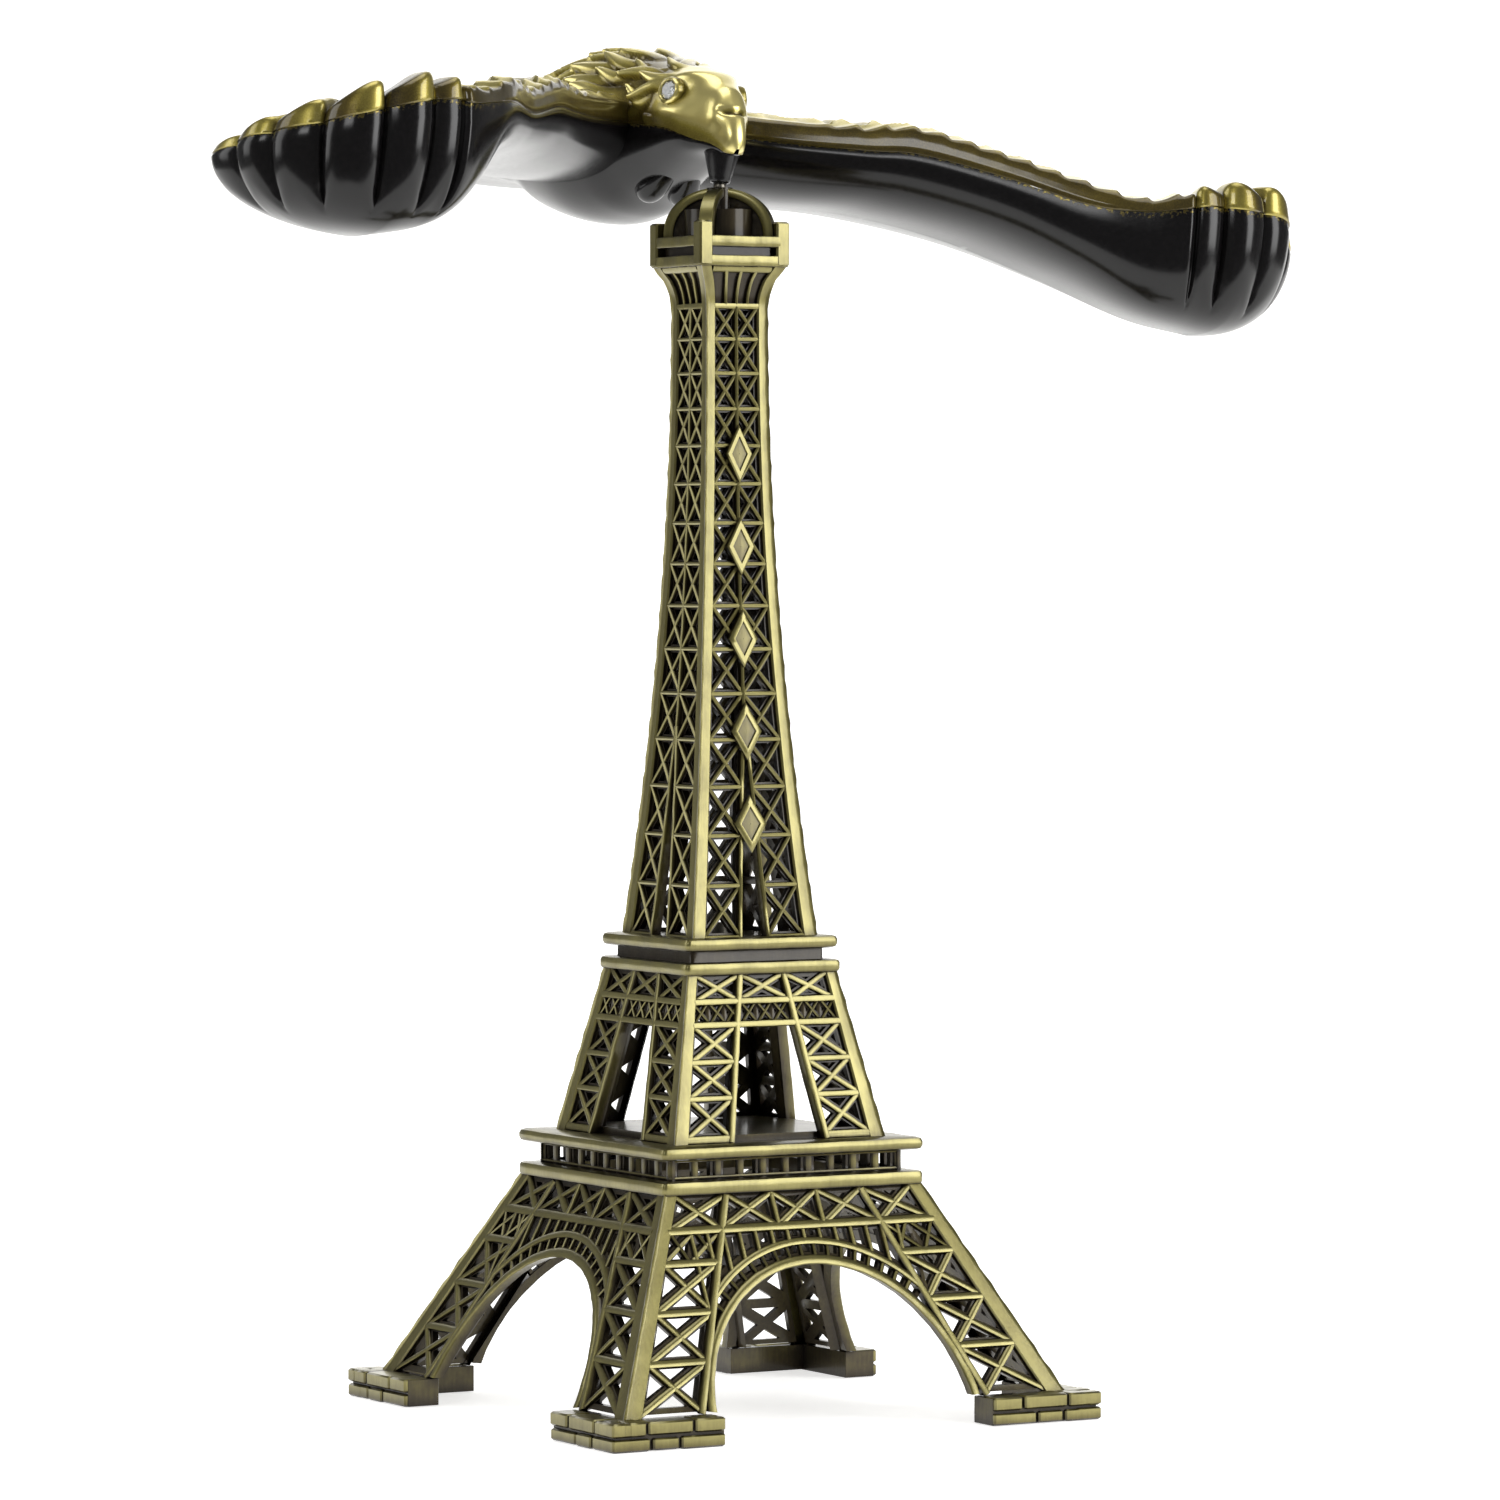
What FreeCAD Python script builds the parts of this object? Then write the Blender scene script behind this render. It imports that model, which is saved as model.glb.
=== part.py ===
import FreeCAD, Part
import math
import os

os.makedirs("parts", exist_ok=True)
Vec = FreeCAD.Vector

# ---- tower, mm ----
FOOT_HALF = 33.0        # outer corner of the feet
FOOT_LENGTH = 15.0      # each arm of the L-shaped foot
FOOT_DEPTH = 4.6
FOOT_HEIGHT = 3.3
FOOT_LIP = 3.3          # how far the feet stand out past the legs
LEG_BASE_HALF = FOOT_HALF - FOOT_LIP    # corner line of the legs at the foot top
LEG_TOP_HALF = 17.5                     # and under the first ledge
LEG_WIDTH_BASE = 10.3   # corner line to the leg's inner post
LEG_WIDTH_TOP = 8.1
LEDGE_1_Z = 27.3
LEDGE_OVERHANG = 0.2    # past the legs below
LEDGE_1_HALF = LEG_TOP_HALF + LEDGE_OVERHANG
LEDGE_1_THICK = 1.6
BAND_SETBACK = 2.0      # the recessed baluster band behind the ledge
BAND_HALF = LEDGE_1_HALF - BAND_SETBACK
BAND_HEIGHT = 2.5
DECK_1_Z = LEDGE_1_Z + LEDGE_1_THICK + BAND_HEIGHT
DECK_1_HALF = LEDGE_1_HALF + 0.05
DECK_THICK = 1.5
COLUMN_INSET = 3.45     # middle columns behind the deck edge
COLUMN_BASE_HALF = DECK_1_HALF - COLUMN_INSET
COLUMN_TOP_HALF = 10.1
COLUMN_HEIGHT = 19.4
LEDGE_2_Z = DECK_1_Z + DECK_THICK + COLUMN_HEIGHT
LEDGE_2_HALF = COLUMN_TOP_HALF + 0.45
LEDGE_2_THICK = 1.5
NECK_HALF = LEDGE_2_HALF - 1.35
NECK_HEIGHT = 1.4
DECK_2_Z = LEDGE_2_Z + LEDGE_2_THICK + NECK_HEIGHT
DECK_2_HALF = LEDGE_2_HALF - 0.2
SHAFT_BASE_HALF = DECK_2_HALF - 1.9
SHAFT_TOP_HALF = 4.14
SHAFT_HEIGHT = 74.6
SHAFT_TOP_Z = DECK_2_Z + DECK_THICK + SHAFT_HEIGHT
SHAFT_LEVELS = 15
FIRST_CELL = 3.9        # height of the top cell; each one below is a little taller
SLOT_HEIGHT = 25.3      # open strip up the shaft between the inner posts
ORNAMENTS = 5
ORNAMENT_TOP_GAP = 17.5     # shaft top down to the first lozenge's middle
ORNAMENT_FOOT_GAP = 13.3    # last one's middle down to the deck
FLARE_HEIGHT = 4.7
GALLERY_Z = SHAFT_TOP_Z + FLARE_HEIGHT
GALLERY_HALF = SHAFT_TOP_HALF + 1.76
GALLERY_HEIGHT = 3.5
CROWN_RISE = 5.95
CROWN_TOP_Z = GALLERY_Z + GALLERY_HEIGHT + CROWN_RISE
WALL = 1.5
BAR = 0.75              # lattice bar width
ARCH_RADIUS = 17.4
ARCH_DROP = 8.3         # crown of the arch below the first ledge
ARCH_CENTRE_Z = LEDGE_1_Z - ARCH_DROP - ARCH_RADIUS
ARCH_RIM = 1.1
UPPER_RIM_RADIUS = ARCH_RADIUS + 2.6
SHANK_RADIUS = 1.0      # rivet through the first deck
SCREW_RADIUS = 1.5      # screw up into the second deck
SCREW_ROOT = 1.25

# ---- pivot, mm ----
BALL_RADIUS = 0.75
RUNNING_GAP = 0.03
CUP_WALL = 0.35
CUP_RADIUS = BALL_RADIUS + CUP_WALL
CUP_HEIGHT = 1.3
PIVOT_LIFT = 0.15       # ball centre above the cup's rim
PIVOT_Z = CROWN_TOP_Z + PIVOT_LIFT
POST_WALL = 0.45
POST_RADIUS = CUP_RADIUS + POST_WALL
TAIL_RADIUS = 1.5       # the post's tail in the shaft
TAIL_LENGTH = 4.0
BOSS_RADIUS = 4.2
BOSS_FLOOR = 0.8        # gallery floor under the boss
BEAK_WALL = 0.32
BEAK_END_RADIUS = BALL_RADIUS + BEAK_WALL
BEAK_END_LIFT = 0.35    # the beak's flat end above the ball centre

# ---- eagle, mm, in its own frame: beak point at the origin, +X ahead, +Y to its left ----
SHELL = 1.1
SEAM_GAP = 0.04
EAGLE_HEADING = -90.0
EAGLE_LEAN = -4.8       # its left wing hangs a little low
WEIGHT_RADIUS = 5.6
WEIGHT_AT = (16.4, 57.4, SHELL - 12.2)    # bedded on the inside of the shell
WEIGHT_HEIGHT_RIGHT = 7.6
WEIGHT_HEIGHT_LEFT = 7.7
FINGER_ANGLES = (-24, 4, 32, 60, 88)    # grooves between the wing-tip feathers
HAND_CENTRE = (16.5, 57.0)
EYE_AT = (-5.0, 5.0, 11.2)
EYE_RADIUS = 1.15

# x, half width, seam height, rise above the seam, depth below it
BODY_STATIONS = [
    (-2.6, 2.6, 5.0, 4.5, 1.0),
    (-7.0, 4.7, 7.0, 7.0, 4.8),
    (-12.0, 6.3, 7.8, 8.2, 7.1),
    (-18.0, 8.4, 7.8, 9.8, 9.6),
    (-27.0, 9.8, 7.8, 10.0, 11.2),
    (-36.0, 8.6, 7.5, 7.6, 9.2),
    (-44.0, 7.4, 7.0, 4.8, 5.4),
    (-54.0, 10.5, 6.2, 3.0, 2.8),
    (-67.0, 14.5, 4.8, 2.0, 1.9),
]
# leading point (x, y, z), trailing point, rise above the seam, depth below it
WING_STATIONS = [
    ((-14.0, 3.5, 7.8), (-39.0, 3.5, 7.4), 5.4, 6.6),
    ((-6.0, 15.0, 6.6), (-36.0, 17.5, 4.4), 4.4, 5.8),
    ((3.7, 24.0, 6.3), (-29.0, 31.5, 3.0), 4.2, 6.6),
    ((12.5, 32.5, 3.9), (-17.5, 46.0, 0.6), 3.6, 7.2),
    ((21.0, 40.0, 1.2), (-5.0, 58.0, -2.6), 3.4, 9.6),
    ((27.6, 48.0, 1.4), (4.6, 66.8, -3.6), 3.4, 12.4),
]
# the rounded tip: distance past the last station, share of its chord, share of its depth
WING_TIP = [(6.2, 0.86, 0.94), (9.8, 0.62, 0.74), (11.6, 0.34, 0.42)]


def polygon(points):
    return Part.Face(Part.makePolygon(points + points[:1]))


def box(x0, x1, y0, y1, z0, z1):
    return Part.makeBox(x1 - x0, y1 - y0, z1 - z0, Vec(x0, y0, z0))


def square_stack(profile):
    """A solid of square sections given as (half width, height) from the bottom up."""
    faces, rings = [], []
    for half, z in profile:
        rings.append([Vec(-half, -half, z), Vec(half, -half, z), Vec(half, half, z), Vec(-half, half, z)])
    faces.append(polygon(rings[0][::-1]))
    faces.append(polygon(rings[-1]))
    for low, high in zip(rings, rings[1:]):
        for i in range(4):
            j = (i + 1) % 4
            faces.append(polygon([low[i], low[j], high[j], high[i]]))
    return Part.makeSolid(Part.makeShell(faces))


def slab(half, z0, thick, edge):
    """A square plate with rounded outer edges."""
    plate = box(-half, half, -half, half, z0, z0 + thick)
    return plate.makeFillet(edge, plate.Edges)


def quarters(shape):
    """The shape and its three copies turned about the tower's axis."""
    copies = []
    for i in range(4):
        turned = shape.copy()
        turned.rotate(Vec(0, 0, 0), Vec(0, 0, 1), 90 * i)
        copies.append(turned)
    return copies


def inset_triangle(a, b, c, inset):
    sides = [math.dist(b, c), math.dist(c, a), math.dist(a, b)]
    total = sum(sides)
    centre = [sum(s * p[k] for s, p in zip(sides, (a, b, c))) / total for k in (0, 1)]
    area = abs((b[0] - a[0]) * (c[1] - a[1]) - (c[0] - a[0]) * (b[1] - a[1])) / 2
    keep = 1 - inset * total / (2 * area)
    if keep < 0.2:
        return None
    return [tuple(centre[k] + keep * (p[k] - centre[k]) for k in (0, 1)) for p in (a, b, c)]


def crossed_cell(left, right, z0, z1, bar):
    """Four triangles left open by a pair of crossed bars; left and right give u at a height."""
    corners = [(left(z0), z0), (right(z0), z0), (right(z1), z1), (left(z1), z1)]
    middle = (sum(p[0] for p in corners) / 4, sum(p[1] for p in corners) / 4)
    cells = [inset_triangle(corners[i], corners[(i + 1) % 4], middle, bar / 2) for i in range(4)]
    return [cell for cell in cells if cell]


def mirrored(cells):
    return cells + [[(-u, z) for u, z in cell] for cell in cells]


def pierce(solid, cells, reach):
    """Cuts the cells through both pairs of walls."""
    tools = []
    for cell in cells:
        face = polygon([Vec(u, -reach, z) for u, z in cell])
        tools.append(face.extrude(Vec(0, 2 * reach, 0)))
    tools = Part.makeCompound(tools)
    solid = solid.cut(tools)
    tools.rotate(Vec(0, 0, 0), Vec(0, 0, 1), 90)
    return solid.cut(tools)


def line_u(u0, z0, u1, z1):
    return lambda z: u0 + (u1 - u0) * (z - z0) / (z1 - z0)


def one(shape):
    """The single solid left by a union or a cut."""
    shape = shape.removeSplitter()
    return max(shape.Solids, key=lambda s: s.Volume)


def save(shape, name, place=None):
    solid = one(shape)
    if place:
        solid = place(solid)
    print(name, "valid", solid.isValid(), "solids", len(shape.Solids), "volume", round(solid.Volume, 2))
    solid.exportStep("parts/" + name + ".step")
    return solid


# ---- lower stage ----
def brick_foot():
    """One L-shaped foot of two brick courses at the near right corner."""
    f, n, d = FOOT_HALF, FOOT_LENGTH, FOOT_DEPTH
    foot = None
    for z0, z1, back in ((0, 1.35, 0), (1.35, 1.8, 0.4), (1.8, FOOT_HEIGHT, 0)):
        arm_x = box(f - n + back, f - back, -f + back, -f + d - back, z0, z1)
        arm_y = box(f - d + back, f - back, -f + back, -f + n - back, z0, z1)
        course = arm_x.fuse(arm_y)
        foot = course if foot is None else foot.fuse(course)
    for along, z0, z1 in ((4.4, 1.7, FOOT_HEIGHT + 0.1), (8.6, -0.1, 1.4)):
        foot = foot.cut(box(f - along - 0.5, f - along, -f - 0.1, -f + 0.4, z0, z1))
        foot = foot.cut(box(f - 0.4, f + 0.1, -f + along, -f + along + 0.5, z0, z1))
    return foot.removeSplitter()


def leg_cells():
    top, foot = LEDGE_1_Z, FOOT_HEIGHT
    inner = line_u(LEG_TOP_HALF - LEG_WIDTH_TOP, top - 0.1, LEG_BASE_HALF - LEG_WIDTH_BASE, foot + 0.3)
    outer = line_u(LEG_TOP_HALF - 2.0, top - 0.3, LEG_BASE_HALF - 2.4, foot + 0.1)
    cells = []
    row = (top - foot - 7.8) / 3        # three rows below the fine lattice
    rows = [(foot + 0.6 + row * i, foot - 0.1 + row * (i + 1)) for i in range(3)]
    for z0, z1 in rows + [(top - 3.5, top - 0.3)]:
        cells += crossed_cell(inner, outer, z0, z1, BAR)
    middle = lambda z: (inner(z) + outer(z)) / 2
    for left, right in ((inner, middle), (middle, outer)):
        cells += crossed_cell(left, right, top - 7.1, top - 4.3, BAR * 0.7)
    beside = lambda z: inner(z) - 0.6
    cells += crossed_cell(lambda z: 3.0, beside, top - 3.5, top - 0.3, BAR)
    cells = mirrored(cells)
    cells += crossed_cell(lambda z: -3.0, lambda z: 3.0, top - 3.5, top - 0.3, BAR)
    return cells


def arch_cells():
    cells = []
    inner, outer = ARCH_RADIUS + ARCH_RIM, UPPER_RIM_RADIUS - 0.45
    for i in range(-7, 8):
        a = math.radians(5.4 * i)
        half = 0.62
        cell = []
        for radius, side in ((inner, -half), (inner, half), (outer, half), (outer, -half)):
            cell.append((radius * math.sin(a) + side * math.cos(a),
                         ARCH_CENTRE_Z + radius * math.cos(a) - side * math.sin(a)))
        cells.append(cell)
    rim = UPPER_RIM_RADIUS + 0.45
    for i in range(2, 6):
        for sign in (-1, 1):
            u0, u1 = sign * (2.15 * i - 0.75), sign * (2.15 * i + 0.65)
            bottom = [ARCH_CENTRE_Z + math.sqrt(rim ** 2 - u ** 2) for u in (u0, u1)]
            cells.append([(u0, bottom[0]), (u1, bottom[1]), (u1, LEDGE_1_Z - 4.25), (u0, LEDGE_1_Z - 4.25)])
    return cells


def lower_stage():
    slope = (LEG_TOP_HALF - LEG_BASE_HALF) / (LEDGE_1_Z - FOOT_HEIGHT)
    rise = 0.6
    foot_z = FOOT_HEIGHT - 0.5
    base_half = LEG_BASE_HALF - slope * 0.5
    top_half = LEG_TOP_HALF + slope * rise
    walls = square_stack([(base_half, foot_z), (top_half, LEDGE_1_Z + rise)])
    inner_drop = 0.2
    walls = walls.cut(square_stack([
        (base_half - slope * -inner_drop - WALL - 0.3, foot_z - inner_drop),
        (top_half - WALL, LEDGE_1_Z + rise + 0.01)]))
    reach = FOOT_HALF + 1
    arch = Part.makeCylinder(ARCH_RADIUS, 2 * reach, Vec(0, -reach, ARCH_CENTRE_Z), Vec(0, 1, 0))
    walls = walls.cut(arch)
    arch.rotate(Vec(0, 0, 0), Vec(0, 0, 1), 90)
    walls = walls.cut(arch)
    walls = pierce(walls, leg_cells() + arch_cells(), reach)
    band = box(-BAND_HALF, BAND_HALF, -BAND_HALF, BAND_HALF, LEDGE_1_Z + 0.2, DECK_1_Z + 0.3)
    inside = BAND_HALF - 1.2
    ledge = slab(LEDGE_1_HALF, LEDGE_1_Z, LEDGE_1_THICK, 0.3)
    deck = slab(DECK_1_HALF, DECK_1_Z, DECK_THICK, 0.45)
    stack = ledge.fuse(band)
    stack = stack.cut(box(-inside, inside, -inside, inside, LEDGE_1_Z - 1, DECK_1_Z + 0.1))
    windows = []
    pitch = 2 * (BAND_HALF - 1.3) / 8
    low, high = LEDGE_1_Z + LEDGE_1_THICK + 0.4, DECK_1_Z - 0.4
    for i in range(8):
        left, right = (i - 3.5) * pitch - 1.15, (i - 3.5) * pitch + 1.15
        windows.append([(left, low), (right, low), (right, high), (left, high)])
    stack = pierce(stack, windows, BAND_HALF + 1)
    hole = Part.makeCylinder(SHANK_RADIUS, DECK_THICK + 2, Vec(0, 0, DECK_1_Z - 1))
    feet = quarters(brick_foot())
    return walls.fuse([stack, deck] + feet).cut(hole)


# ---- middle stage ----
def middle_stage():
    base_z = DECK_1_Z + DECK_THICK
    top_z = LEDGE_2_Z + 0.3
    tube = square_stack([(COLUMN_BASE_HALF, base_z), (COLUMN_TOP_HALF, top_z)])
    tube = tube.cut(square_stack([
        (COLUMN_BASE_HALF - WALL, base_z - 0.01), (COLUMN_TOP_HALF - WALL, top_z + 0.01)]))
    low, high = base_z + 0.8, LEDGE_2_Z - 0.3
    inner = line_u(2.95, high + 0.5, 6.4, low - 0.1)
    outer = line_u(COLUMN_TOP_HALF - 1.4, high + 0.4, COLUMN_BASE_HALF - 2.0, low - 0.5)
    row = (high - 5.1 - low) / 3
    cells = []
    rows = [(low + row * i, low - 0.7 + row * (i + 1)) for i in range(3)]
    for z0, z1 in rows + [(high - 2.4, high)]:
        cells += crossed_cell(lambda z: inner(z) + 0.3, outer, z0, z1, BAR)
    cells = mirrored(cells)
    cells += crossed_cell(lambda z: -inner(z) + 0.3, lambda z: inner(z) - 0.3, high - 2.4, high, BAR)
    for k in (-1, 0, 1):        # the fine lattice between the two bars
        for i in (-1, 0, 1):
            u = 5.85 * k + 1.6 * i
            cells += crossed_cell(lambda z: u - 0.75, lambda z: u + 0.75, high - 4.9, high - 3.1, 0.34)
    reach = COLUMN_BASE_HALF + 1
    gap_low, gap_high, gap_top = inner(low) - 0.35, inner(high - 5.7) - 0.35, high - 5.7
    cells.append([(-gap_low, low + 0.05), (gap_low, low + 0.05), (gap_high, gap_top), (-gap_high, gap_top)])
    tube = pierce(tube, cells, reach)
    reach = COLUMN_BASE_HALF - 1.4
    floor = box(-reach, reach, -reach, reach, base_z, base_z + 0.8)
    ledge = slab(LEDGE_2_HALF, LEDGE_2_Z, LEDGE_2_THICK, 0.35)
    neck = box(-NECK_HALF, NECK_HALF, -NECK_HALF, NECK_HALF, LEDGE_2_Z + 1, DECK_2_Z)
    room = NECK_HALF - 2.0
    hollow = box(-room, room, -room, room, LEDGE_2_Z - 1, DECK_2_Z - 1.2)
    rivet_hole = Part.makeCylinder(SHANK_RADIUS, 4, Vec(0, 0, base_z - 1))
    screw_hole = Part.makeCylinder(SCREW_RADIUS, 6, Vec(0, 0, DECK_2_Z - 3))
    top = ledge.fuse(neck).cut(hollow)
    return tube.fuse([floor, top]).cut(rivet_hole).cut(screw_hole)


# ---- upper shaft ----
def shaft_half(z):
    """Half width of the shaft: a parabola that stands upright at the top."""
    run = (SHAFT_TOP_Z - z) / SHAFT_HEIGHT
    return SHAFT_TOP_HALF + (SHAFT_BASE_HALF - SHAFT_TOP_HALF) * max(run, 0) ** 2


def shaft_levels():
    """Heights of the shaft's horizontals from the top down, the cells growing evenly."""
    n = SHAFT_LEVELS
    growth = (SHAFT_HEIGHT - n * FIRST_CELL) / (n * (n - 1) / 2)
    levels = [SHAFT_TOP_Z]
    for i in range(n):
        levels.append(levels[-1] - FIRST_CELL - growth * i)
    return levels


def shaft_slot(z):
    """Half width of the open slot between the two inner posts."""
    base = DECK_2_Z + DECK_THICK
    return max(0.0, 1.45 * (base + SLOT_HEIGHT - z) / SLOT_HEIGHT)


def upper_shaft():
    levels = shaft_levels()
    t, z = SHAFT_TOP_HALF, SHAFT_TOP_Z
    flare = [(t + 0.06, z + 0.9), (t + 0.3, z + 2.0), (t + 0.71, z + 3.2), (t + 1.36, z + 4.4),
             (GALLERY_HALF - 0.3, GALLERY_Z)]
    profile = [(shaft_half(z), z) for z in levels[::-1]]
    profile[0] = (profile[0][0], levels[-1] - 0.3)
    thick = lambda z: 1.0 + 0.5 * (SHAFT_TOP_Z - z) / SHAFT_HEIGHT
    core = [(half - thick(z), z) for half, z in profile]
    core[0] = (core[0][0], levels[-1])
    shaft = square_stack(profile + flare).cut(square_stack(core))
    cells = []
    for high, low in zip(levels, levels[1:]):
        z0, z1 = low + BAR * 0.3, high - BAR * 0.3
        post = lambda z: shaft_half(z) - 1.35 - 0.35 * (SHAFT_TOP_Z - z) / SHAFT_HEIGHT
        inner = lambda z: shaft_slot(z) + (0.25 if shaft_slot(z) == 0 else 0.55)
        cells += crossed_cell(inner, post, z0, z1, 0.62)
    cells = mirrored(cells)
    low, high = levels[-1] + 0.2, levels[-1] + SLOT_HEIGHT - 2.5
    cells.append([(-shaft_slot(low), low), (shaft_slot(low), low), (shaft_slot(high), high),
                  (-shaft_slot(high), high)])
    shaft = pierce(shaft, cells, 12)
    flutes = []
    for i in range(4):          # open panels between the flare's ribs, shallow
        u = (i - 1.5) * 1.5
        panel = box(u - 0.5, u + 0.5, -GALLERY_HALF - 0.3, 0.39 - SHAFT_TOP_HALF, z + 0.6, z + 4.1)
        flutes += quarters(panel)
    shaft = shaft.cut(Part.makeCompound(flutes))
    deck = slab(DECK_2_HALF, DECK_2_Z, DECK_THICK, 0.45)
    depth = TAIL_LENGTH - BOSS_FLOOR + 0.2
    socket = Part.makeCylinder(TAIL_RADIUS, depth, Vec(0, 0, GALLERY_Z - depth))
    thread = Part.makeCylinder(SCREW_ROOT, 4, Vec(0, 0, DECK_2_Z - 1))
    nut_boss = Part.makeCylinder(SCREW_ROOT + 1.75, 3.5, Vec(0, 0, DECK_2_Z + DECK_THICK - 0.2))
    ornaments = []
    pitch = (SHAFT_HEIGHT - ORNAMENT_TOP_GAP - ORNAMENT_FOOT_GAP) / (ORNAMENTS - 1)
    for i in range(ORNAMENTS):  # plain raised lozenges down the front
        z = SHAFT_TOP_Z - ORNAMENT_TOP_GAP - pitch * i
        y = -shaft_half(z + 3.2) - 0.35
        wide = 1.75 + 0.1 * i
        face = polygon([Vec(0, y, z - 3.4), Vec(wide, y, z), Vec(0, y, z + 3.4), Vec(-wide, y, z)])
        ornaments.append(face.extrude(Vec(0, 1.2, 0)))
    return shaft.fuse([deck, nut_boss] + ornaments).cut(socket).cut(thread)


# ---- gallery and crown ----
def gallery_crown():
    z0, z1 = GALLERY_Z, GALLERY_Z + GALLERY_HEIGHT
    half = GALLERY_HALF
    band = slab(half, z0, GALLERY_HEIGHT, 0.2)
    band = band.cut(box(-half + 1, half - 1, -half + 1, half - 1, z0 + 0.8, z1 + 1))
    slots = [box(1.9 - half, half - 1.9, -half - 1, half + 1, z0 + 1.3, z0 + 2.25)]
    slots.append(slots[0].copy())
    slots[1].rotate(Vec(0, 0, 0), Vec(0, 0, 1), 90)
    band = band.cut(Part.makeCompound(slots))
    posts = quarters(box(half - 1.6, half + 0.25, -half - 0.25, -half + 1.6, z0, z1 + 1.85))
    wide = half + 0.85
    plate = Part.makeCylinder(1.0, 1.5, Vec(0, -0.75, 0), Vec(0, 1, 0))
    stretch = FreeCAD.Matrix()
    stretch.scale(wide, 1, CROWN_RISE)
    plate = plate.transformGeometry(stretch)
    plate.translate(Vec(0, 0, z1))
    plate = plate.cut(box(-9, 9, -2, 2, z1 - 9, z1 - 0.4))
    plate.rotate(Vec(0, 0, 0), Vec(0, 0, 1), 45)
    other = plate.copy()
    other.rotate(Vec(0, 0, 0), Vec(0, 0, 1), 90)
    crown = band.fuse(posts + [plate, other])
    boss_room = Part.makeCylinder(BOSS_RADIUS, 6.2, Vec(0, 0, z0 + BOSS_FLOOR))
    stem_room = Part.makeCylinder(max(POST_RADIUS, TAIL_RADIUS), 20, Vec(0, 0, z0 - 1))
    return crown.cut(boss_room.fuse(stem_room))


def pivot_post():
    boss_z = GALLERY_Z + BOSS_FLOOR
    boss = Part.makeCylinder(BOSS_RADIUS, 6.0, Vec(0, 0, boss_z))
    stem = Part.makeCylinder(POST_RADIUS, CROWN_TOP_Z - boss_z, Vec(0, 0, boss_z))
    tail = Part.makeCylinder(TAIL_RADIUS, TAIL_LENGTH, Vec(0, 0, boss_z - TAIL_LENGTH))
    seat = Part.makeCylinder(CUP_RADIUS + RUNNING_GAP, 4, Vec(0, 0, CROWN_TOP_Z - CUP_HEIGHT - RUNNING_GAP))
    return boss.fuse([stem, tail]).cut(seat)


def pivot_cup():
    body = Part.makeCylinder(CUP_RADIUS, CUP_HEIGHT, Vec(0, 0, CROWN_TOP_Z - CUP_HEIGHT))
    dimple = Part.makeSphere(BALL_RADIUS + RUNNING_GAP, Vec(0, 0, PIVOT_Z))
    return body.cut(dimple)


def pivot_ball():
    return Part.makeSphere(BALL_RADIUS, Vec(0, 0, PIVOT_Z))


def deck_rivet():
    z = DECK_1_Z + DECK_THICK + 0.8
    head = Part.makeCone(SHANK_RADIUS + 0.5, SHANK_RADIUS, 0.9, Vec(0, 0, z))
    shank = Part.makeCylinder(SHANK_RADIUS, DECK_THICK + 0.8, Vec(0, 0, DECK_1_Z))
    foot = Part.makeCylinder(SHANK_RADIUS + 0.6, 0.7, Vec(0, 0, DECK_1_Z - 0.7))
    return head.fuse([shank, foot])


def stage_screw():
    z = DECK_2_Z - 1.2
    head = Part.makeCylinder(SCREW_RADIUS + 1.1, 1.6, Vec(0, 0, z - 1.6))
    reach = SCREW_RADIUS + 1.2
    head = head.cut(box(-reach, reach, -0.35, 0.35, z - 1.7, z - 1.0))
    shank = Part.makeCylinder(SCREW_RADIUS, 1.2, Vec(0, 0, z))
    thread = Part.makeCylinder(SCREW_ROOT, 2.8, Vec(0, 0, z + 1.2))
    return head.fuse([shank, thread])


# ---- eagle ----
def half_section(lead, trail, height, side, inset):
    """A closed wire: the seam line and a bulging curve above (side 1) or below (side -1) it."""
    chord = trail - lead
    inward = chord.normalize() * inset
    lead, trail = lead + inward, trail - inward
    reach = side * max(height - inset, 0.3)
    points = []
    for i in range(9):
        a = math.pi * i / 8
        p = lead + (trail - lead) * ((1 - math.cos(a)) / 2)
        points.append(p + Vec(0, 0, reach * math.sin(a) ** 0.8))
    curve = Part.BSplineCurve()
    curve.interpolate(points)
    edges = [curve.toShape()]
    if inset:
        over = Vec(0, 0, -side * 0.8)
        edges += [Part.makeLine(trail, trail + over), Part.makeLine(trail + over, lead + over),
                  Part.makeLine(lead + over, lead)]
    else:
        edges.append(Part.makeLine(trail, lead))
    return Part.Wire(edges)


def body_half(side, inset):
    wires = []
    for x, half, seam, rise, depth in BODY_STATIONS:
        lead, trail = Vec(x, half, seam), Vec(x, -half, seam)
        wires.append(half_section(lead, trail, rise if side > 0 else depth, side, inset))
    if inset:
        wires = wires[1:-1]
    return Part.makeLoft(wires, True, False)


def wing_half(side, inset):
    """The left wing's upper or lower half."""
    wires = []
    for lead, trail, rise, depth in WING_STATIONS:
        wires.append(half_section(Vec(*lead), Vec(*trail), rise if side > 0 else depth, side, inset))
    lead, trail, rise, depth = WING_STATIONS[-1]
    lead, trail = Vec(*lead), Vec(*trail)
    middle, chord = (lead + trail) / 2, trail - lead
    out = Vec(-chord.y, chord.x, 0).normalize() * -1
    for distance, share, deep in WING_TIP:
        near, far = middle - chord * share / 2, middle + chord * share / 2
        shift = out * (distance - inset)
        height = (rise if side > 0 else depth) * deep
        wires.append(half_section(near + shift, far + shift, height, side, inset))
    if inset:
        wires = wires[:-1]
    return Part.makeLoft(wires, True, False)


def both_wings(shape):
    return [shape, shape.mirror(Vec(0, 0, 0), Vec(0, 1, 0))]


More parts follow.
